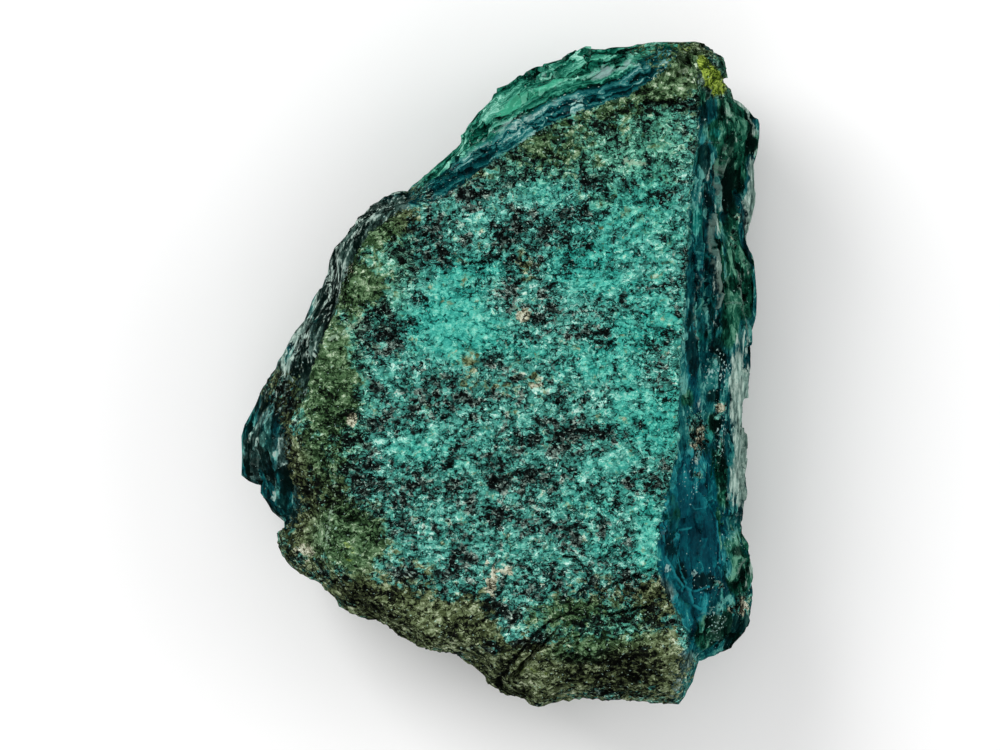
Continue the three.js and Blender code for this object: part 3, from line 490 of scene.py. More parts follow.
class Graph:
    """Adds nodes to one shader or geometry tree, and joins them as they are made."""

    def __init__(self, tree: bpy.types.NodeTree) -> None:
        """Starts with an empty tree.

        Args:
            tree: the tree that the nodes go into.
        """
        self.tree = tree
        tree.nodes.clear()

    def add(self, kind: str, inputs: Union[Inputs, None] = None, **settings: object) -> bpy.types.Node:
        """A new node.

        Args:
            kind: the node's type name.
            inputs: what its sockets are fed, by their name or number.
            settings: its own settings by name.

        Returns:
            The node.
        """
        node = self.tree.nodes.new(kind)
        for name, setting in settings.items():
            setattr(node, name, setting)
        for key, value in (inputs or {}).items():
            self.feed(node.inputs[key], value)
        return node

    def term(self, kind: str, answer: Key, inputs: Union[Inputs, None] = None, **settings: object) -> "Term":
        """One output of a new node, as a term.

        Args:
            kind: the node's type name.
            answer: the name or number of the output.
            inputs: what its sockets are fed, by their name or number.
            settings: its own settings by name.

        Returns:
            The term.
        """
        return Term(self, self.add(kind, inputs, **settings).outputs[answer])

    def feed(self, socket: Socket, value: "Value") -> None:
        """Joins a socket to a term, or gives it a plain value.

        Args:
            socket: the socket.
            value: what it is fed.
        """
        if isinstance(value, Term):
            self.tree.links.new(value.socket, socket)
        elif socket.type == "RGBA" and len(value) == 3:
            socket.default_value = (*value, 1.0)
        else:
            socket.default_value = value

    def math(self, operation: str, *values: "Value") -> "Term":
        """A sum on plain numbers, by the Math node's name for it."""
        return self.term("ShaderNodeMath", 0, dict(enumerate(values)), operation=operation)

    def vector(self, operation: str, *values: "Value", answer: str = "Vector") -> "Term":
        """A sum on vectors, by the Vector Math node's name for it."""
        return self.term("ShaderNodeVectorMath", answer, dict(enumerate(values)), operation=operation)

    def measure(self, name: str) -> "Term":
        """What the mesh says of this place.

        Args:
            name: the measure's name.

        Returns:
            The measure.
        """
        if self.tree.type == "GEOMETRY":
            return self.term("GeometryNodeInputNamedAttribute", "Attribute", {"Name": name})
        return self.term("ShaderNodeAttribute", "Fac", attribute_name=name)

    def place(self) -> "Term":
        """The place being looked at.

        Returns:
            The place, in stone millimetres.
        """
        if self.tree.type == "GEOMETRY":
            metres = self.term("GeometryNodeInputPosition", 0)
        else:
            metres = self.term("ShaderNodeTexCoord", "Object")
        return metres.scaled(1 / MM).moved(STONE_SHIFT)

    def effect(self, tree: bpy.types.ShaderNodeTree, given: dict[str, "Term"]) -> dict[str, "Term"]:
        """A node group.

        Args:
            tree: the group.
            given: what its inputs are fed, by name. It may hold more than the group takes.

        Returns:
            Its outputs by name.
        """
        node = self.add("ShaderNodeGroup", node_tree=tree)
        for socket in node.inputs:
            self.feed(socket, given[socket.name])
        return {socket.name: Term(self, socket) for socket in node.outputs}


@dataclass(frozen=True)
class Term:
    """What a node puts out, on which sums are written as they are read."""

    graph: Graph
    socket: Socket

    def __add__(self, other: "Value") -> "Term":
        """Both added up."""
        return self.graph.math("ADD", self, other)

    def __mul__(self, other: "Value") -> "Term":
        """Both multiplied."""
        return self.graph.math("MULTIPLY", self, other)

    def __sub__(self, other: "Value") -> "Term":
        """What is left of this without the other."""
        return self.graph.math("SUBTRACT", self, other)

    def __rsub__(self, other: "Value") -> "Term":
        """What is left of a plain number without this."""
        return self.graph.math("SUBTRACT", other, self)

    def __abs__(self) -> "Term":
        """This without its sign."""
        return self.graph.math("ABSOLUTE", self)

    __radd__ = __add__
    __rmul__ = __mul__

    def swing(self, reach: float = 1.0) -> "Term":
        """A chance of 0 to 1 turned into one of -reach to reach."""
        return (self - 0.5) * (2 * reach)

    def step(self, low: float, high: float) -> "Term":
        """A soft step from 0 at low to 1 at high."""
        inputs = {"Value": self, "From Min": low, "From Max": high}
        return self.graph.term("ShaderNodeMapRange", "Result", inputs, interpolation_type="SMOOTHSTEP")

    def between(self, a: "Value", b: "Value") -> "Term":
        """The number that lies this share of the way from a to b."""
        inputs = {0: self, 2: a, 3: b}
        return self.graph.term("ShaderNodeMix", 0, inputs, data_type="FLOAT", clamp_factor=True)

    def blended(self, share: "Value", other: "Value") -> "Term":
        """This colour with a share of another laid on it."""
        inputs = {0: share, 6: self, 7: other}
        return self.graph.term("ShaderNodeMix", 2, inputs, data_type="RGBA", clamp_factor=True)

    def picked(self, stops: Sequence[tuple[float, Colour]]) -> "Term":
        """A colour picked by this share along a row of stops.

        Args:
            stops: each stop's place, from 0 to 1, and its colour as light.

        Returns:
            The colour.
        """
        node = self.graph.add("ShaderNodeValToRGB", {0: self})
        elements = node.color_ramp.elements
        while len(elements) < len(stops):
            elements.new(1.0)
        for element, (position, colour) in zip(elements, stops):
            element.position = position
            element.color = (*colour, 1.0)
        return Term(self.graph, node.outputs[0])

    def tinted(self, stops: Stops) -> "Term":
        """A colour picked by this share along a row of paints."""
        return self.picked([(place / 100, paint(*steps)) for place, *steps in stops])

    def moved(self, by: "Value") -> "Term":
        """This vector with another added."""
        return self.graph.vector("ADD", self, by)

    def stretched(self, by: "Value") -> "Term":
        """This vector with each of its numbers multiplied by another's."""
        return self.graph.vector("MULTIPLY", self, by)

    def scaled(self, by: "Value") -> "Term":
        """This vector made longer by a plain number."""
        return self.graph.term("ShaderNodeVectorMath", "Vector", {0: self, "Scale": by}, operation="SCALE")

    def parts(self) -> tuple["Term", ...]:
        """The three numbers of this vector or colour."""
        node = self.graph.add("ShaderNodeSeparateXYZ", {0: self})
        return tuple(Term(self.graph, socket) for socket in node.outputs)

    def noise(self, size: float, detail: float = 2.0, rough: float = 0.5) -> "Term":
        """Soft noise over this place, from 0 to 1 and mostly near the middle.

        Args:
            size: how far apart its bumps are, in millimetres.
            detail: how many finer layers it has.
            rough: how strong the finer layers are.

        Returns:
            The noise.
        """
        inputs = {"Vector": self, "Scale": 1 / size, "Detail": detail, "Roughness": rough}
        return self.graph.term("ShaderNodeTexNoise", 0, inputs)

    def bent(self, size: float, reach: float) -> "Term":
        """This place pushed about by noise.

        Args:
            size: how far apart the pushes are, in millimetres.
            reach: about how far they go.

        Returns:
            The place.
        """
        inputs = {"Vector": self, "Scale": 1 / size, "Detail": 1.0}
        push = self.graph.term("ShaderNodeTexNoise", "Color", inputs)
        return self.moved(push.moved(TO_MIDDLE).scaled(2 * reach))

    def cells(self, size: float, *answers: str, feature: str = "F1") -> tuple["Term", ...]:
        """Cells over this place, each with its own colour and middle.

        Args:
            size: how big they are, in millimetres.
            answers: which outputs of the Voronoi node are wanted.
            feature: which feature of the cells is looked for.

        Returns:
            The outputs, in their order.
        """
        node = self.graph.add("ShaderNodeTexVoronoi", {"Vector": self, "Scale": 1 / size}, feature=feature)
        return tuple(Term(self.graph, node.outputs[answer]) for answer in answers)


Value = Union[float, str, Sequence[float], Term]


# ---------------------------------------------------------------------------------------------------
# Finishes
# ---------------------------------------------------------------------------------------------------


@dataclass(frozen=True)
class Grains:
    """Grains or facets, in millimetres."""

    size: float
    wobble: float  # how far their edges bend
    step: float  # how far they stand out
    tilt: float  # how much they lean
    squeeze: Triple  # how much narrower they are along x, y and z
    shift: Triple = (0, 0, 0)  # how far off they are read, so that two kinds don't match

    def cells(self, place: Term) -> tuple[Term, Term, Term, Term]:
        """Which grain a place belongs to.

        Args:
            place: the place, in stone millimetres.

        Returns:
            The grain's three chances, each from 0 to 1, its height there, how far up its own slope the
            place is, and the bent place that its seams are read at.
        """
        warped = place.bent(2.2 * self.wobble, 0.8 * self.wobble).moved(self.shift).stretched(self.squeeze)
        chances, middle = warped.cells(self.size, "Color", "Position")
        away = place.graph.vector("SUBTRACT", warped, middle)
        slope = place.graph.vector("DOT_PRODUCT", away, chances.moved(TO_MIDDLE), answer="Value")
        height = (chances.parts()[1] - 0.5) * self.step + slope * self.tilt
        return chances, height, slope, warped

    def seam(self, warped: Term, width: float) -> Term:
        """1 on the seams between the grains, 0 off them.

        Args:
            warped: the bent place that cells gave.
            width: half the seam's width, in millimetres.

        Returns:
            The mask.
        """
        (away,) = warped.cells(self.size, "Distance", feature="DISTANCE_TO_EDGE")
        share = width / self.size
        return away.step(share, 0.3 * share)


GRAINS = Grains(size=0.66, wobble=0.4, step=0.2, tilt=0.6, squeeze=(0.86, 1.12, 0.8))
VEIN_FACETS = Grains(size=1.8, wobble=0.9, step=0.35, tilt=1.0, squeeze=(1.0, 0.24, 0.42))
VEIN_FLAKES = Grains(size=0.9, wobble=0.5, step=0.12, tilt=0.5, squeeze=(1.0, 0.35, 0.5), shift=(0, 23, 0))
BAND_FACETS = Grains(size=2.4, wobble=0.9, step=0.2, tilt=0.5, squeeze=(0.7, 0.8, 0.6), shift=(31, 0, 0))

# The painted shade line and the painted highlight beside it where two grains part, along a noise: places and
# greys.
CREASE_SHADE_AND_HIGHLIGHT = ((0.4, 0.5), (0.455, 0.45), (0.475, 0.0), (0.505, 0.0), (0.53, 0.85), (0.57, 0.68), (0.63, 0.5))


@dataclass(frozen=True)
class Mineral:
    """One kind of rock, as a shader node group that gives its colour and its roughness."""

    name: str
    reads: tuple[str, ...]  # the measures that it takes besides the place

    def group(self) -> bpy.types.ShaderNodeTree:
        """Builds the node group.

        Returns:
            The group.
        """
        tree = bpy.data.node_groups.new(self.name, "ShaderNodeTree")
        graph = Graph(tree)
        tree.interface.new_socket("Place", in_out="INPUT", socket_type="NodeSocketVector")
        for read in self.reads:
            tree.interface.new_socket(read, in_out="INPUT", socket_type="NodeSocketFloat")
        for answer, kind in (("Colour", "NodeSocketColor"), ("Roughness", "NodeSocketFloat")):
            tree.interface.new_socket(answer, in_out="OUTPUT", socket_type=kind)
        way_in, way_out = graph.add("NodeGroupInput"), graph.add("NodeGroupOutput")
        inputs = [Term(graph, way_in.outputs[name]) for name in ("Place", *self.reads)]
        for socket, made in zip(way_out.inputs, self.made(*inputs)):
            graph.feed(socket, made)
        return tree

    def made(self, *inputs: Term) -> tuple[Term, Term]:
        """Builds the nodes of this kind of rock.

        Args:
            inputs: the place, then what the rock reads.

        Returns:
            Colour and roughness.
        """
        raise NotImplementedError(self.name)


@dataclass(frozen=True)
class GrainyRock(Mineral):
    """Broken granular rock, each grain black, grey, blue-green, olive or cream by chance and stain, with
    painted shade in its creases, gaps, partings and pits, and a painted highlight beside each crease.
    """

    name: str = "grainy_rock"
    reads: tuple[str, ...] = ("dark", "bright", "olive", "ochre", "lime", "green")
    teals: Stops = (
        (12, 2, 9, 8), (26, 8, 29, 27), (38, 26, 72, 66), (50, 45, 111, 100), (62, 64, 143, 131),
        (78, 108, 187, 170), (96, 202, 236, 224),
    )
    turquoises: Stops = (
        (10, 0, 11, 10), (26, 3, 46, 43), (42, 18, 110, 99), (58, 42, 152, 139), (74, 86, 190, 171),
        (93, 164, 225, 206),
    )
    greys: Stops = (
        (12, 2, 7, 6), (26, 14, 28, 25), (40, 48, 68, 62), (55, 94, 114, 106), (75, 152, 172, 160),
        (96, 224, 236, 224),
    )
    sea_greens: Stops = (
        (12, 2, 9, 7), (26, 9, 30, 23), (38, 30, 72, 58), (50, 52, 112, 88), (62, 76, 146, 118),
        (78, 122, 188, 158), (96, 206, 236, 218),
    )
    brown_olives: Stops = (
        (12, 4, 7, 3), (26, 23, 30, 18), (42, 50, 60, 34), (58, 82, 95, 60), (76, 128, 144, 108),
        (96, 196, 204, 176),
    )
    green_olives: Stops = (
        (12, 1, 9, 3), (30, 12, 32, 12), (48, 37, 65, 36), (64, 66, 98, 62), (80, 112, 144, 106),
        (96, 192, 210, 182),
    )
    limes: Stops = ((20, 40, 60, 8), (50, 108, 136, 36), (85, 184, 206, 92))
    creams: Stops = (
        (16, 20, 18, 12), (34, 76, 76, 58), (50, 136, 138, 114), (66, 186, 188, 164), (90, 220, 226, 208),
    )
    chips: Colour = paint(176, 214, 198)

    def made(self, *inputs: Term) -> tuple[Term, Term]:
        """Builds the rock's nodes.

        Args:
            inputs: the place, then the stains.

        Returns:
            Colour and roughness.
        """
        place, dark, bright, olive, ochre, lime, green = inputs
        chances, _, slope, bent = GRAINS.cells(place)
        one, _, three = chances.parts()
        thread = place.noise(0.8, 3.0, 0.7).swing()
        blotch = place.noise(2.1, 3.0, 0.65).swing()
        broad = place.moved((40.0, 0.0, 0.0)).noise(5.0).swing()
        mottle = bent.moved((17.0, 0.0, 0.0)).noise(0.85, 4.0, 0.72).swing()

        clean = bright + blotch * 0.5 + broad * 0.3
        shade = dark - blotch * 0.9 - broad * 0.35
        dark_zone = (shade + thread * 0.5).step(-0.1, 0.6)
        # Painted shade in the gaps between grains, where the dark stain runs high.
        gap_shade = (shade + thread * 0.3 + mottle * 0.25).step(0.3, 0.62)
        # A painted shade line with a painted highlight beside it, where grains part.
        crease_shade_and_highlight = bent.noise(0.95, 3.0, 0.64).picked([(at, (grey,) * 3) for at, grey in CREASE_SHADE_AND_HIGHLIGHT]).swing()
        # Painted shade in small pits, which the relief also sinks.
        pit = (bent.moved((9.0, 0.0, 0.0)).noise(0.8, 3.0, 0.6) - shade * 0.2).step(0.33, 0.29)
        rough = mottle * 0.68 + one.swing(0.1) + slope * 0.5 + crease_shade_and_highlight * dark_zone.between(0.1, 0.38)
        # Thin lines of painted shade where grains part.
        ridge = bent.moved((0.0, 0.0, 13.0)).noise(1.5).swing()
        parting_shade = abs(ridge).step(0.07, 0.02) * (mottle + thread).step(0.15, -0.15)
        calm = clean.step(0.2, 0.9).between(1.0, 0.62)
        tone = 0.705 + rough * calm * 0.9 - parting_shade * 0.26 - shade * 0.2 - gap_shade * 0.17 - pit * 0.3

        bluer = (clean + three.swing(0.25)).step(0.15, 0.75)
        colour = tone.tinted(self.teals).blended(bluer, tone.tinted(self.turquoises))
        greyish = shade * 0.5 - 0.14 + three.swing(0.25) + thread * 0.6 - clean * 0.7
        colour = colour.blended(greyish.step(-0.02, 0.26), tone.tinted(self.greys))
        greener = (green + blotch * 0.3 + three.swing(0.2)).step(0.2, 0.9)
        colour = colour.blended(greener * 0.7, tone.tinted(self.sea_greens))
        green_olives = tone.tinted(self.green_olives)
        olives = tone.tinted(self.brown_olives).blended(green.step(0.2, 0.8), green_olives)
        wander = blotch * 0.6 + three.swing(0.16) + thread * 0.3
        colour = colour.blended((olive + wander).step(0.22, 0.5), olives)
        colour = colour.blended((lime + wander * 0.5).step(0.3, 0.5), tone.tinted(self.limes))
        colour = colour.blended((ochre + wander * 0.55 - 0.13).step(0.36, 0.48), tone.tinted(self.creams))
        chip = (bent.noise(0.36, 1.0) + dark_zone * 0.03).step(0.73, 0.77)
        return colour.blended(chip * 0.6, self.chips), 0.45 + one * 0.3


@dataclass(frozen=True)
class GlassyVein(Mineral):
    """Glassy copper silicate, deep blue-green with long streaks, painted grey sheens and white glints, and
    near-black glass with painted shade in its hollows.
    """

    name: str = "glassy_vein"
    reads: tuple[str, ...] = ("green", "blue", "deep", "painted_sheen", "glow", "painted_glint", "olive")
    teals: Stops = (
        (20, 0, 20, 24), (40, 0, 48, 54), (55, 2, 74, 78), (70, 22, 104, 102), (90, 92, 160, 150),
    )
    greens: Stops = (
        (20, 0, 16, 11), (40, 1, 38, 28), (55, 6, 66, 49), (70, 30, 98, 76), (90, 98, 156, 130),
    )
    blues: Stops = (
        (20, 0, 24, 38), (40, 0, 48, 60), (55, 0, 68, 80), (70, 2, 94, 102), (90, 36, 138, 142),
    )
    greys: Stops = (
        (20, 5, 12, 11), (40, 20, 36, 34), (55, 46, 68, 63), (70, 84, 106, 100), (90, 160, 176, 168),
    )
    glows: Stops = ((40, 0, 84, 78), (60, 6, 122, 112), (85, 90, 184, 168))
    # The painted sheen's colours.
    sheen_colours: Stops = ((20, 50, 78, 70), (50, 116, 144, 134), (75, 184, 206, 194))
    # The near-black of dark glass and of painted shade in its hollows.
    depths: Colour = paint(1, 16, 13)
    # The painted glints' colour.
    glint_colour: Colour = paint(164, 204, 198)

    def made(self, *inputs: Term) -> tuple[Term, Term]:
        """Builds the mineral's nodes.

        Args:
            inputs: the place, then the stains.

        Returns:
            Colour and roughness.
        """
        place, green, blue, deep, painted_sheen, glow, painted_glint, olive = inputs
        chances, _, slope, bent = VEIN_FACETS.cells(place)
        one, two, three = chances.parts()
        flakes, _, flake_slope, _ = VEIN_FLAKES.cells(place)
        flake, _, _ = flakes.parts()
        cloud = place.stretched((1.0, 0.5, 0.6)).noise(1.3, 5.0, 0.72).swing()
        streak = place.stretched((1.0, 0.22, 0.4)).noise(0.45, 4.0, 0.7).swing()
        grit = place.stretched((1.0, 0.6, 0.6)).noise(0.32, 3.0, 0.7).swing(0.3)
        seam = VEIN_FACETS.seam(bent, 0.1) * cloud.step(-0.1, 0.15)
        quiet = blue.step(0.6, 1.1)
        rough = one.swing(0.17) + flake.swing(0.15) + slope * 0.3 + flake_slope * 0.35
        rough = rough + cloud * 0.42 + streak * 0.34 + seam * 0.22 + grit
        # Darker where deep is strong: dark glass, with painted shade in the hollows.
        tone = 0.6 + rough * quiet.between(1.0, 0.55) - quiet * 0.05 - deep * 0.2

        bluish = (blue + cloud * 0.4).step(0.25, 0.6)
        colour = tone.tinted(self.teals).blended(bluish, tone.tinted(self.blues))
        greenish = (green - cloud * 0.4 + two.swing(0.3)).step(0.3, 0.55)
        colour = colour.blended(greenish, tone.tinted(self.greens))
        dull = (olive - cloud * 0.35 + two.swing(0.15)).step(0.3, 0.55)
        colour = colour.blended(dull * 0.85, tone.tinted(self.greys))
        lit = (glow * 0.8 + streak * 0.7 + cloud * 0.5 + three.swing(0.25)).step(0.4, 0.75)
        colour = colour.blended(lit * 0.8, tone.tinted(self.glows))
        # Near-black where deep is strong: dark glass, with painted shade in the hollows.
        sunk = (deep - streak * 0.4 - cloud * 0.5 - three.swing(0.3)).step(0.4, 0.6)
        colour = colour.blended(sunk * 0.8, self.depths)
        # Painted sheen: grey-green reflections on the steep glassy walls.
        skin = (painted_sheen + streak * 0.6 + cloud * 0.35 + two.swing(0.1) + flake.swing(0.1)).step(0.4, 0.6)
        colour = colour.blended(skin * 0.85, (0.5 + streak * 0.9 + flake.swing(0.12)).tinted(self.sheen_colours))
        # Painted glints: small white highlights.
        fleck = place.stretched((1.0, 0.8, 0.8)).noise(0.3, 1.0).swing()
        glint = (painted_glint + fleck * 1.3).step(0.66, 0.74)
        return colour.blended(glint * 0.7, self.glint_colour), 0.3 + skin * 0.3 + glint * 0.4 + streak * 0.15


@dataclass(frozen=True)
class BandedMalachite(Mineral):
    """Malachite in bands that follow the edge of the broad face, teal near it and green farther out."""

    name: str = "banded_malachite"
    reads: tuple[str, ...] = ("glow", "painted_sheen", "deep", "painted_glint", "rim")
    greens: Stops = (
        (20, 0, 18, 12), (38, 2, 54, 42), (52, 18, 96, 76), (70, 68, 150, 126), (92, 148, 212, 190),
    )
    teals: Stops = (
        (20, 0, 16, 20), (40, 0, 46, 50), (55, 6, 76, 78), (72, 52, 122, 118), (92, 150, 186, 178),
    )
    glows: Colour = paint(64, 166, 132)
    depths: Colour = paint(1, 14, 11)
    # The painted sheen's colour.
    sheen_colours: Colour = paint(124, 146, 146)
    # The painted glints' colour.
    glint_colour: Colour = paint(166, 198, 186)

    def made(self, *inputs: Term) -> tuple[Term, Term]:
        """Builds the mineral's nodes.

        Args:
            inputs: the place, the stains, and the distance from the edge of the broad face.

        Returns:
            Colour and roughness.
        """
        place, glow, painted_sheen, deep, painted_glint, out = inputs
        chances, _, slope, _ = BAND_FACETS.cells(place)
        one, two, three = chances.parts()
        cloud = place.noise(1.5, 3.0, 0.6).swing()
        across = out + cloud * 0.9 + two.swing(0.25)
        line = place.graph.term("ShaderNodeCombineXYZ", 0, {"X": across}).moved(place.scaled(0.03))
        stripe = line.noise(0.42, 3.0, 0.7).swing()
        tone = 0.55 + one.swing(0.12) + slope * 0.2 + stripe * 0.9 + cloud * 0.35

        colour = tone.tinted(self.teals).blended(across.step(2.3, 3.0), tone.tinted(self.greens))
        lit = (glow + stripe * 1.1).step(0.4, 0.75)
        colour = colour.blended(lit * 0.7, self.glows)
        # Near-black where deep is strong, with painted shade in the hollows.
        sunk = (deep - stripe * 0.5 - cloud * 0.5 - three.swing(0.25)).step(0.3, 0.6)
        colour = colour.blended(sunk, self.depths)
        # Painted sheen along the malachite band.
        skin = (painted_sheen + cloud * 0.8).step(0.4, 0.8)
        colour = colour.blended(skin * 0.75, self.sheen_colours)
        # Painted glints.
        glint = (painted_glint + place.noise(0.32, 1.0).swing() * 1.3).step(0.62, 0.7)
        return colour.blended(glint * 0.7, self.glint_colour), 0.22 + skin * 0.15 + glint * 0.3 + stripe * 0.15


@dataclass(frozen=True)
class StoneFinish:
    """The stone's one material: grainy rock, glassy vein and banded malachite, each where it lies."""

    name: str = "malachite_rock"
    mirror: float = 0.1  # how strongly it mirrors
    smoothest: float = 0.06
    roughest: float = 0.9
    # Each kind of line: its measure, how broken up it is, how strong and what colour.
    lines: tuple[tuple[str, float, float, Colour], ...] = (
        ("pale", 1.0, 0.65, paint(150, 178, 152)),
        # The ribs' grey-green is painted sheen.
        ("rib", 0.2, 0.55, paint(122, 150, 138)),
        ("ring", 0.12, 0.85, paint(24, 124, 132)),
        # The cracks' near-black is painted shade.
        ("crack", 1.0, 0.95, paint(4, 8, 7)),
    )

    def material(self) -> bpy.types.Material:
        """Builds the material.

        Returns:
            The material.
        """
        material = bpy.data.materials.new(self.name)
        material.use_nodes = True
        graph = Graph(material.node_tree)
        place = graph.place()
        given = {name: graph.measure(name) for name in ("rim", *(stain.value for stain in Stain))}
        given["Place"] = place
        rock, vein, bands = (
            graph.effect(kind().group(), given) for kind in (GrainyRock, GlassyVein, BandedMalachite)
        )

        fine = place.noise(0.6, 3.0, 0.65)
        ragged = fine.swing()
        off_face = (given["rim"] + ragged * 0.8).step(0.0, 0.12)
        stuck = (given[Stain.RUBBLE.value] + ragged * 1.2).step(0.45, 0.52)
        bare = off_face * (1.0 - stuck)
        glass = bare * (graph.measure("glass") + ragged * 0.6).step(0.44, 0.52)
        banded = bare * (graph.measure("band") + ragged * 0.6).step(0.44, 0.52)

        colour = rock["Colour"].blended(banded, bands["Colour"]).blended(glass, vein["Colour"])
        for name, break_up, strength, line_colour in self.lines:
            line = (graph.measure(name) + ragged * break_up).step(-0.05, 0.1)
            colour = colour.blended(line * strength, line_colour)
        roughness = glass.between(banded.between(rock["Roughness"], bands["Roughness"]), vein["Roughness"])
        roughness = graph.math("MINIMUM", graph.math("MAXIMUM", roughness, self.smoothest), self.roughest)
        depth = graph.math("MAXIMUM", glass, banded).between(0.35, 0.05)
        bumps = {"Strength": 1.0, "Distance": MM, "Height": fine * depth}
        looks = {
            "Base Color": colour,
            "Roughness": roughness,
            "IOR": 1.5,
            "Specular IOR Level": self.mirror,
            "Normal": graph.term("ShaderNodeBump", "Normal", bumps),
        }
        graph.add("ShaderNodeOutputMaterial", {"Surface": graph.term("ShaderNodeBsdfPrincipled", 0, looks)})
        return material


# ---------------------------------------------------------------------------------------------------
# The stone
# ---------------------------------------------------------------------------------------------------


def smooth(low: float, high: float, values: np.ndarray) -> np.ndarray:
    """A soft step from 0 to 1.

    Args:
        low: where it is 0.
        high: where it is 1, above or below the other.
        values: what is stepped.

    Returns:
        The step at each value.
    """
    share = np.clip((values - low) / (high - low), 0, 1)
    return share * share * (3 - 2 * share)


def vectors(items: Items, name: str) -> np.ndarray:
    """One vector of each corner or face of a mesh.

    Args:
        items: the corners or faces.
        name: which of their vectors.

    Returns:
        The vectors, one row each.
    """
    values = np.zeros(len(items) * 3, np.float32)
    items.foreach_get(name, values)
    return values.reshape(-1, 3)


def in_stone(metres: np.ndarray) -> np.ndarray:
    """Places in the frame's metres, as places in stone millimetres."""
    return metres / MM + STONE_SHIFT


@dataclass
class Stone:
    """The stone: a finer copy of its solid, with its grains, ribs, ripples and cracks as real relief."""

    node: str = "malachite_stone"

    # Heights, in millimetres.
    sole_level: float = 0.05  # the sole lies below this one
    vein_level: float = 7.0  # the vein's wall is cut finely above this one
    fine_level: float = 14.0  # all walls are cut finely above this one
    face_level: float = 26.0  # the broad face lies above this one
    low_level: float = 2.0  # the vein is smoothed above this one
    under_levels: Levels = (9.0, 3.0)  # the underside's stains
    crystal_levels: Levels = (10.0, 15.0)  # the lime crystal
    sway_levels: Levels = (18.0, 12.0)  # the sway of the stains
    foot_levels: Levels = (1.0, 5.0)  # the bulge of the walls, near the floor
    shoulder_levels: Levels = (25.0, 19.0)  # the same bulge, near the broad face

    # Distances, in millimetres.
    weld: float = 0.002  # corners closer than this are one
    face_margin: float = 0.3  # how far past its edge the broad face is still cut finely, if high enough
    soft_side: float = 0.8  # how softly one side turns into the next
    wall_levels: Levels = (-0.2, 1.4)  # the stains of the sides, going out from the edge of the face
    vein_margin: float = 0.6  # how far from that edge the vein is smoothed
    inner_margin: float = 0.8  # and how far from it the face is
    vein_top: float = 30.0  # past this y the vein isn't smoothed
    far: float = 3.0  # what counts as far from a crack or rib

    # Shares and angles.
    mostly: float = 0.5  # the share that makes a place part of the vein
    nearly_all: float = 0.7  # the share that makes it part of the vein's middle
    upward: float = 0.55  # the faces whose normals rise more than this are seen from above
    steep_levels: Levels = (0.9, 0.5)  # the bulge of the walls, by how much their normals rise
    flank_glass: float = 0.72  # how glassy the flank is, where the vein is 1
    sharp_angle: float = 30.0  # degrees, past which an edge of the glass stays sharp
    smoothing: int = 6  # rounds
    corners: np.ndarray = field(init=False, repr=False)
    corner_sides: list[Side] = field(init=False, repr=False)

    def __post_init__(self) -> None:
        """Lists the rim's corners, and the side that each starts."""
        self.corners = np.array([place for places in RIM.values() for place in places])
        self.corner_sides = [side for side, places in RIM.items() for _ in places]

    def build(self) -> bpy.types.Object:
        """Makes the whole piece.

        Returns:
            The finished piece, with its measures and its finish.
        """
        piece = self.copied()
        self.cut_finer(piece.data)
        self.smoothed(piece.data)
        self.measured(piece.data)
        self.roughened(piece)
        self.shaded(piece.data)
        piece.data.materials.append(StoneFinish().material())
        return piece

    def copied(self) -> bpy.types.Object:
        """Copies the solid's mesh and closes it to one skin.

        Returns:
            The copy, alone selected.
        """
        bpy.ops.object.select_all(action="DESELECT")
        piece = bpy.data.objects.new("stone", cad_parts[self.node].data.copy())
        bpy.context.scene.collection.objects.link(piece)
        piece.data.materials.clear()
        bpy.context.view_layer.objects.active = piece
        piece.select_set(True)
        bpy.ops.mesh.customdata_custom_splitnormals_clear()
        self.edited(lambda: bpy.ops.mesh.remove_doubles(threshold=self.weld * MM))
        return piece

    def edited(self, step: Callable[[], object]) -> None:
        """Runs an operator in edit mode on all that is selected, or on all where nothing is.

        Args:
            step: runs the operator.
        """
        bpy.ops.object.mode_set(mode="EDIT")
        if not bpy.context.object.data.total_vert_sel:
            bpy.ops.mesh.select_all(action="SELECT")
        step()
        bpy.ops.mesh.select_all(action="DESELECT")
        bpy.ops.object.mode_set(mode="OBJECT")

    def cut_finer(self, mesh: bpy.types.Mesh) -> None:
        """Halves all edges but the sole's, then those of the upper sides, then those seen from above.

        Args:
            mesh: the piece's mesh.
        """
        middles, normals = in_stone(vectors(mesh.polygons, "center")), vectors(mesh.polygons, "normal")
        vein = self.side_weights(middles)[Side.VEIN] > self.mostly
        height = middles[:, 2]
        high = height > self.fine_level
        top = (self.rim_distance(middles) < self.face_margin) & (height > self.face_level)
        top &= normals[:, 2] > self.upward
        level = np.where(height < self.sole_level, 0, 1)
        level = np.where(high | (vein & (height > self.vein_level)), 2, level)
        level = np.where(top | (vein & high), 3, level)
        mesh.attributes.new("level", "INT", "FACE").data.foreach_set("value", level.astype(np.int32))
        for step in (1, 2, 3):
            levels = np.zeros(len(mesh.polygons), np.int32)
            mesh.attributes["level"].data.foreach_get("value", levels)
            self.select(mesh, mesh.polygons, levels >= step)
            self.edited(lambda: bpy.ops.mesh.subdivide(number_cuts=1))
            log.info("stone: %d faces after cut %d", len(mesh.polygons), step)
        mesh.attributes.remove(mesh.attributes["level"])
        self.edited(lambda: bpy.ops.mesh.quads_convert_to_tris(quad_method="BEAUTY", ngon_method="BEAUTY"))

    def select(self, mesh: bpy.types.Mesh, items: Items, chosen: np.ndarray) -> None:
        """Selects the chosen corners or faces, and nothing else.

        Args:
            mesh: the piece's mesh.
            items: its corners or its faces.
            chosen: whether each of them is selected.
        """
        for group in (mesh.vertices, mesh.edges, mesh.polygons):
            group.foreach_set("select", np.zeros(len(group), bool))
        items.foreach_set("select", chosen)

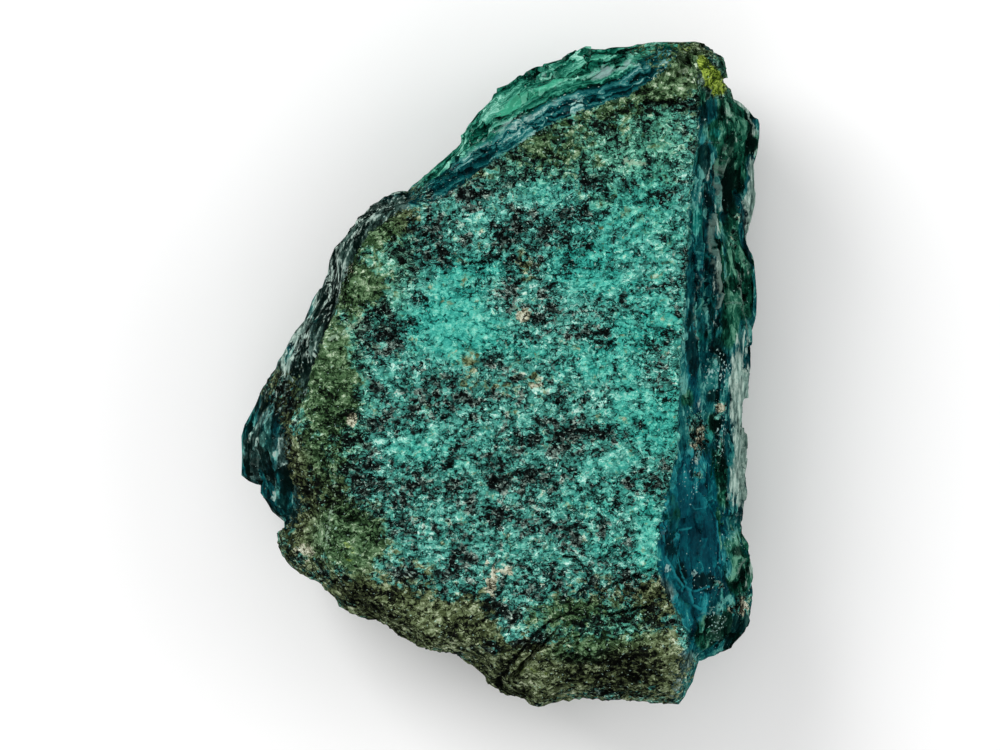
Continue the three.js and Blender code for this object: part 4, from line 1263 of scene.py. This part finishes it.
    def smoothed(self, mesh: bpy.types.Mesh) -> None:
        """Smooths the facets of the glassy vein and of the broad face, short of the edge between them.

        Args:
            mesh: the piece's mesh.
        """
        places = in_stone(vectors(mesh.vertices, "co"))
        rim = self.rim_distance(places)
        glass = (self.side_weights(places)[Side.VEIN] > self.nearly_all) & (rim > self.vein_margin)
        glass &= (places[:, 2] > self.low_level) & (places[:, 1] < self.vein_top)
        top = (rim < -self.inner_margin) & (places[:, 2] > self.face_level)
        for chosen in (glass, top):
            self.select(mesh, mesh.vertices, chosen)
            self.edited(lambda: bpy.ops.mesh.vertices_smooth(factor=0.5, repeat=self.smoothing))

    def shaded(self, mesh: bpy.types.Mesh) -> None:
        """Leaves the grains as flat facets, and smooths the glass but for its sharp edges.

        Args:
            mesh: the piece's mesh.
        """
        bpy.ops.object.shade_smooth_by_angle(angle=math.radians(self.sharp_angle))
        middles = in_stone(vectors(mesh.polygons, "center"))
        glass = self.side_weights(middles)[Side.VEIN] > self.mostly
        mesh.polygons.foreach_set("use_smooth", glass & (self.rim_distance(middles) > 0))

    def rim_distance(self, places: np.ndarray) -> np.ndarray:
        """How far each place lies outside the edge of the broad face, negative on the face.

        Args:
            places: the places, in stone millimetres.

        Returns:
            The distance in millimetres. A place well below the face is always outside.
        """
        plan = places[:, :2]
        nearest = np.full(len(plan), np.inf)
        inside = np.zeros(len(plan), bool)
        for a, b in zip(self.corners, np.roll(self.corners, -1, axis=0)):
            nearest = np.minimum(nearest, nearest_on_segment(plan, a, b)[1])
            crosses = (a[1] > plan[:, 1]) != (b[1] > plan[:, 1])
            with np.errstate(divide="ignore", invalid="ignore"):
                at = (b[0] - a[0]) * (plan[:, 1] - a[1]) / (b[1] - a[1]) + a[0]
            inside ^= crosses & (plan[:, 0] < at)
        signed = np.where(inside, -nearest, nearest)
        below = self.face_level - places[:, 2]
        return np.where(below > 0, np.maximum(signed, self.face_margin + below / 2), signed)

    def side_weights(self, places: np.ndarray) -> dict[Side, np.ndarray]:
        """How much each place belongs to each side, all of them together 1.

        Args:
            places: the places, in stone millimetres.

        Returns:
            The weights by side.
        """
        reach = {side: np.full(len(places), np.inf) for side in Side}
        for side, a, b in zip(self.corner_sides, self.corners, np.roll(self.corners, -1, axis=0)):
            reach[side] = np.minimum(reach[side], nearest_on_segment(places[:, :2], a, b)[1])
        least = np.min(list(reach.values()), axis=0)
        shares = {side: np.exp(-(distance - least) / self.soft_side) for side, distance in reach.items()}
        total = np.sum(list(shares.values()), axis=0)
        return {side: share / total for side, share in shares.items()}

    def measured(self, mesh: bpy.types.Mesh) -> None:
        """Writes on the mesh all that the relief and the finish need to know of each corner.

        Args:
            mesh: the piece's mesh.
        """
        places, normals = in_stone(vectors(mesh.vertices, "co")), vectors(mesh.vertices, "normal")
        bulge = self.bulge(places, normals)
        plan = (places + normals * bulge[:, None])[:, :2]
        sides = self.side_weights(places)
        under = smooth(*self.under_levels, places[:, 2])
        blocks = sum(block.weight(plan) for block in GLASSY_BLOCKS)
        measures = {
            "rim": self.rim_distance(places),
            "glass": (1 - under) * (sides[Side.VEIN] + self.flank_glass * sides[Side.FLANK] + blocks),
            "band": (1 - under) * sides[Side.SLOPE],
            "bulge": bulge,
            "room": self.room(places, normals),
        }
        off = smooth(*self.wall_levels, measures["rim"])
        ragged = self.ragged(places, plan)
        for stain in Stain:
            amount = np.full(len(places), GROUND.get(stain, 0.0))
            for side, added in SIDE_STAINS.items():
                amount += off * (1 - under) * sides[side] * added.get(stain, 0.0)
            amount += under * UNDER_STAINS.get(stain, 0.0)
            for patch in PATCHES[stain]:
                amount += (1 - under) * patch.weight(ragged)
            measures[stain.value] = amount
        measures[Stain.LIME.value] *= smooth(*self.crystal_levels, places[:, 2])
        for name, traces in TRACES.items():
            inside = np.max([trace.inside(plan) for trace in traces], axis=0)
            near = (places[:, 2] > self.fine_level) & (inside > -self.far)
            measures[name] = np.where(near, inside, -self.far)
        for name, values in measures.items():
            mesh.attributes.new(name, "FLOAT", "POINT").data.foreach_set("value", values.astype(np.float32))

    def ragged(self, places: np.ndarray, plan: np.ndarray) -> np.ndarray:
        """Where the stains are read. Low on the walls it sways, so that no stain hangs down straight.

        Args:
            places: the corners, in stone millimetres.
            plan: x and y of each corner after its bulge.

        Returns:
            x and y to read the stains at, one row each.
        """
        y, height = plan[:, 1], places[:, 2]
        along = 0.9 * np.sin(0.8 * height + 0.4 * y) + 0.5 * np.sin(1.9 * height - 0.8 * y)
        across = 0.22 * np.sin(1.3 * y + 0.4 * height) + 0.12 * np.sin(3.1 * y - 0.9 * height)
        return plan + np.stack([across, along], axis=1) * smooth(*self.sway_levels, height)[:, None]

    def room(self, places: np.ndarray, normals: np.ndarray) -> np.ndarray:
        """How far each corner could move along its normal before it left the solid's box.

        Args:
            places: the corners, in stone millimetres.
            normals: their normals.

        Returns:
            The distance in millimetres, no more than what counts as far.
        """
        low, high = (in_stone(np.array(end)) for end in cad_box)
        limit = np.where(normals > 0, high, low)
        still = np.abs(normals) < 0.05
        reach = np.where(still, self.far, (limit - places) / np.where(still, 1.0, normals))
        return np.clip(reach.min(axis=1), 0, self.far)

    def bulge(self, places: np.ndarray, normals: np.ndarray) -> np.ndarray:
        """How far each place of the walls stands out beyond the solid, in millimetres.

        Args:
            places: the corners, in stone millimetres.
            normals: their normals.

        Returns:
            The distance at each corner: none on the sole, on the broad face and high on the walls.
        """
        height = places[:, 2]
        steep = smooth(*self.steep_levels, np.abs(normals[:, 2]))
        amount = BULGE + sum(patch.weight(places[:, :2]) for patch in BULGES)
        return amount * steep * smooth(*self.foot_levels, height) * smooth(*self.shoulder_levels, height)

    def roughened(self, piece: bpy.types.Object) -> None:
        """Gives the skin its relief.

        Args:
            piece: the piece, active and selected.
        """
        modifier = piece.modifiers.new("relief", "NODES")
        modifier.node_group = self.relief_tree()
        bpy.ops.object.modifier_apply(modifier=modifier.name)

    def relief_tree(self) -> bpy.types.GeometryNodeTree:
        """The nodes that move each corner along its normal, and hold it inside the solid's own box.

        Returns:
            The tree.
        """
        tree = bpy.data.node_groups.new("stone_relief", "GeometryNodeTree")
        for way in ("INPUT", "OUTPUT"):
            tree.interface.new_socket("Geometry", in_out=way, socket_type="NodeSocketGeometry")
        graph = Graph(tree)
        skin = graph.term("NodeGroupInput", 0)
        place = graph.place()
        stuck = graph.measure(Stain.RUBBLE.value).step(0.4, 0.6)
        bare = graph.measure("rim").step(-0.1, 0.5) * (1.0 - stuck)
        glassiness = graph.measure("glass")
        glass = bare * glassiness.step(0.4, 0.7)
        bands = bare * graph.measure("band").step(0.4, 0.7)
        rocky = 1.0 - glass - bands

        _, grain, _, bent = GRAINS.cells(place)
        lumps = place.noise(3.4).swing(0.35)
        knobs = place.noise(1.2, 3.0, 0.6).swing(0.5)
        sunk = graph.measure(Stain.DARK.value).step(0.4, 1.0) * 0.15
        pit = bent.moved((9.0, 0.0, 0.0)).noise(0.9, 3.0, 0.6).step(0.4, 0.3)
        rough = grain + lumps + knobs - sunk - pit * 0.25

        def raised(name: str) -> Term:
            """1 on a line of that name, 0 off it."""
            return (graph.measure(name) + knobs * 0.4).step(-0.16, 0.1)

        _, facet, _, _ = VEIN_FACETS.cells(place)
        bold = glassiness.step(0.74, 0.98).between(0.4, 1.0)
        glassy = facet * bold + raised("ring") * 0.2 + raised("rib") * 0.45 + knobs * 0.12
        _, band_facet, _, _ = BAND_FACETS.cells(place)
        banded = band_facet + grain * 0.25 + knobs * 0.3

        height = rocky * rough + glass * glassy + bands * banded - raised("crack") * 0.6
        rise = graph.math("MINIMUM", height + graph.measure("bulge"), graph.measure("room") * 0.6)
        lift = rise * place.parts()[2].step(0.1, 1.4) * MM
        shift = graph.term("GeometryNodeInputNormal", 0).scaled(lift)
        moved = graph.term("GeometryNodeInputPosition", 0).moved(shift)
        held = graph.vector("MAXIMUM", graph.vector("MINIMUM", moved, tuple(cad_box[1])), tuple(cad_box[0]))
        lifted = graph.term("GeometryNodeSetPosition", 0, {"Geometry": skin, "Position": held})
        graph.add("NodeGroupOutput", {0: lifted})
        return tree


# ---------------------------------------------------------------------------------------------------
# The studio
# ---------------------------------------------------------------------------------------------------


@dataclass(frozen=True)
class SoftLight:
    """One square soft light, aimed at the stone."""

    name: str
    place: Triple  # metres
    side: float
    watts: float
    mirrored: bool = True  # whether the stone's glassy places show it

    def build(self) -> bpy.types.Object:
        """Hangs the light.

        Returns:
            The lamp.
        """
        light = bpy.data.lights.new(self.name, "AREA")
        light.shape = "SQUARE"
        light.size = self.side
        light.energy = self.watts
        lamp = bpy.data.objects.new(self.name, light)
        bpy.context.scene.collection.objects.link(lamp)
        lamp.location = self.place
        lamp.visible_glossy = self.mirrored
        lamp.rotation_euler = (-Vector(self.place)).to_track_quat("-Z", "Y").to_euler()
        return lamp


@dataclass(frozen=True)
class Studio:
    """A white floor, soft lights and a camera that looks straight down, sizes in metres."""

    floor_side: float = 4.0
    floor_shade: float = 0.92
    floor_roughness: float = 0.9
    ambient: float = 0.72
    camera_height: float = 1.0
    camera_place: Place = (-0.000064, -0.000052)
    lens: float = 283.4  # millimetres
    film_width: float = 36.0  # millimetres
    sight: tuple[float, float] = (0.05, 20.0)  # from how near to how far the camera sees
    lights: tuple[SoftLight, ...] = (
        SoftLight("upper_left", (-0.55, 0.5, 0.7), 0.5, 5.4),
        SoftLight("right", (0.75, 0.1, 0.6), 0.5, 1.8, mirrored=False),
        SoftLight("below", (-0.1, -0.8, 0.5), 0.5, 1.0),
    )

    def build(self) -> None:
        """Sets up the lights, the floor, the sky and the camera, and shows colours as they are."""
        for light in self.lights:
            light.build()
        floor = self.floor()
        bpy.context.scene.world = self.sky()
        bpy.context.scene.camera = self.camera()
        bpy.context.scene.view_settings.view_transform = "Standard"

    def floor(self) -> bpy.types.Object:
        """Lays a plain pale floor under the stone.

        Returns:
            The floor.
        """
        bpy.ops.object.select_all(action="DESELECT")
        bpy.ops.mesh.primitive_plane_add(size=self.floor_side, location=(0, 0, 0))
        floor = bpy.context.object
        floor.name = "floor"
        material = bpy.data.materials.new("pale_floor")
        material.use_nodes = True
        graph = Graph(material.node_tree)
        looks = {"Base Color": (self.floor_shade,) * 3, "Roughness": self.floor_roughness}
        graph.add("ShaderNodeOutputMaterial", {"Surface": graph.term("ShaderNodeBsdfPrincipled", 0, looks)})
        floor.data.materials.append(material)
        floor.visible_glossy = False
        return floor

    def sky(self) -> bpy.types.World:
        """Lights the room evenly from all around.

        Returns:
            The sky, which the stone's glassy places don't mirror.
        """
        world = bpy.data.worlds.new("pale_room")
        world.use_nodes = True
        background = world.node_tree.nodes["Background"]
        background.inputs["Color"].default_value = (1.0, 1.0, 1.0, 1.0)
        background.inputs["Strength"].default_value = self.ambient
        world.cycles_visibility.glossy = False
        return world

    def camera(self) -> bpy.types.Object:
        """Hangs the camera high above the stone, with a long lens.

        Returns:
            The camera.
        """
        camera = bpy.data.cameras.new("camera")
        camera.lens = self.lens
        camera.sensor_width = self.film_width
        camera.clip_start, camera.clip_end = self.sight
        eye = bpy.data.objects.new("camera", camera)
        bpy.context.scene.collection.objects.link(eye)
        eye.location = (*self.camera_place, self.camera_height)
        return eye


def main() -> None:
    """Builds the studio and the stone."""
    logging.basicConfig(level=logging.INFO, format="%(message)s")
    Studio().build()
    stone = Stone().build()
    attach(stone, "root")
    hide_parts("malachite_stone")
    log.info("stone: %d triangles", sum(len(face.vertices) - 2 for face in stone.data.polygons))


if __name__ == "__main__":
    main()
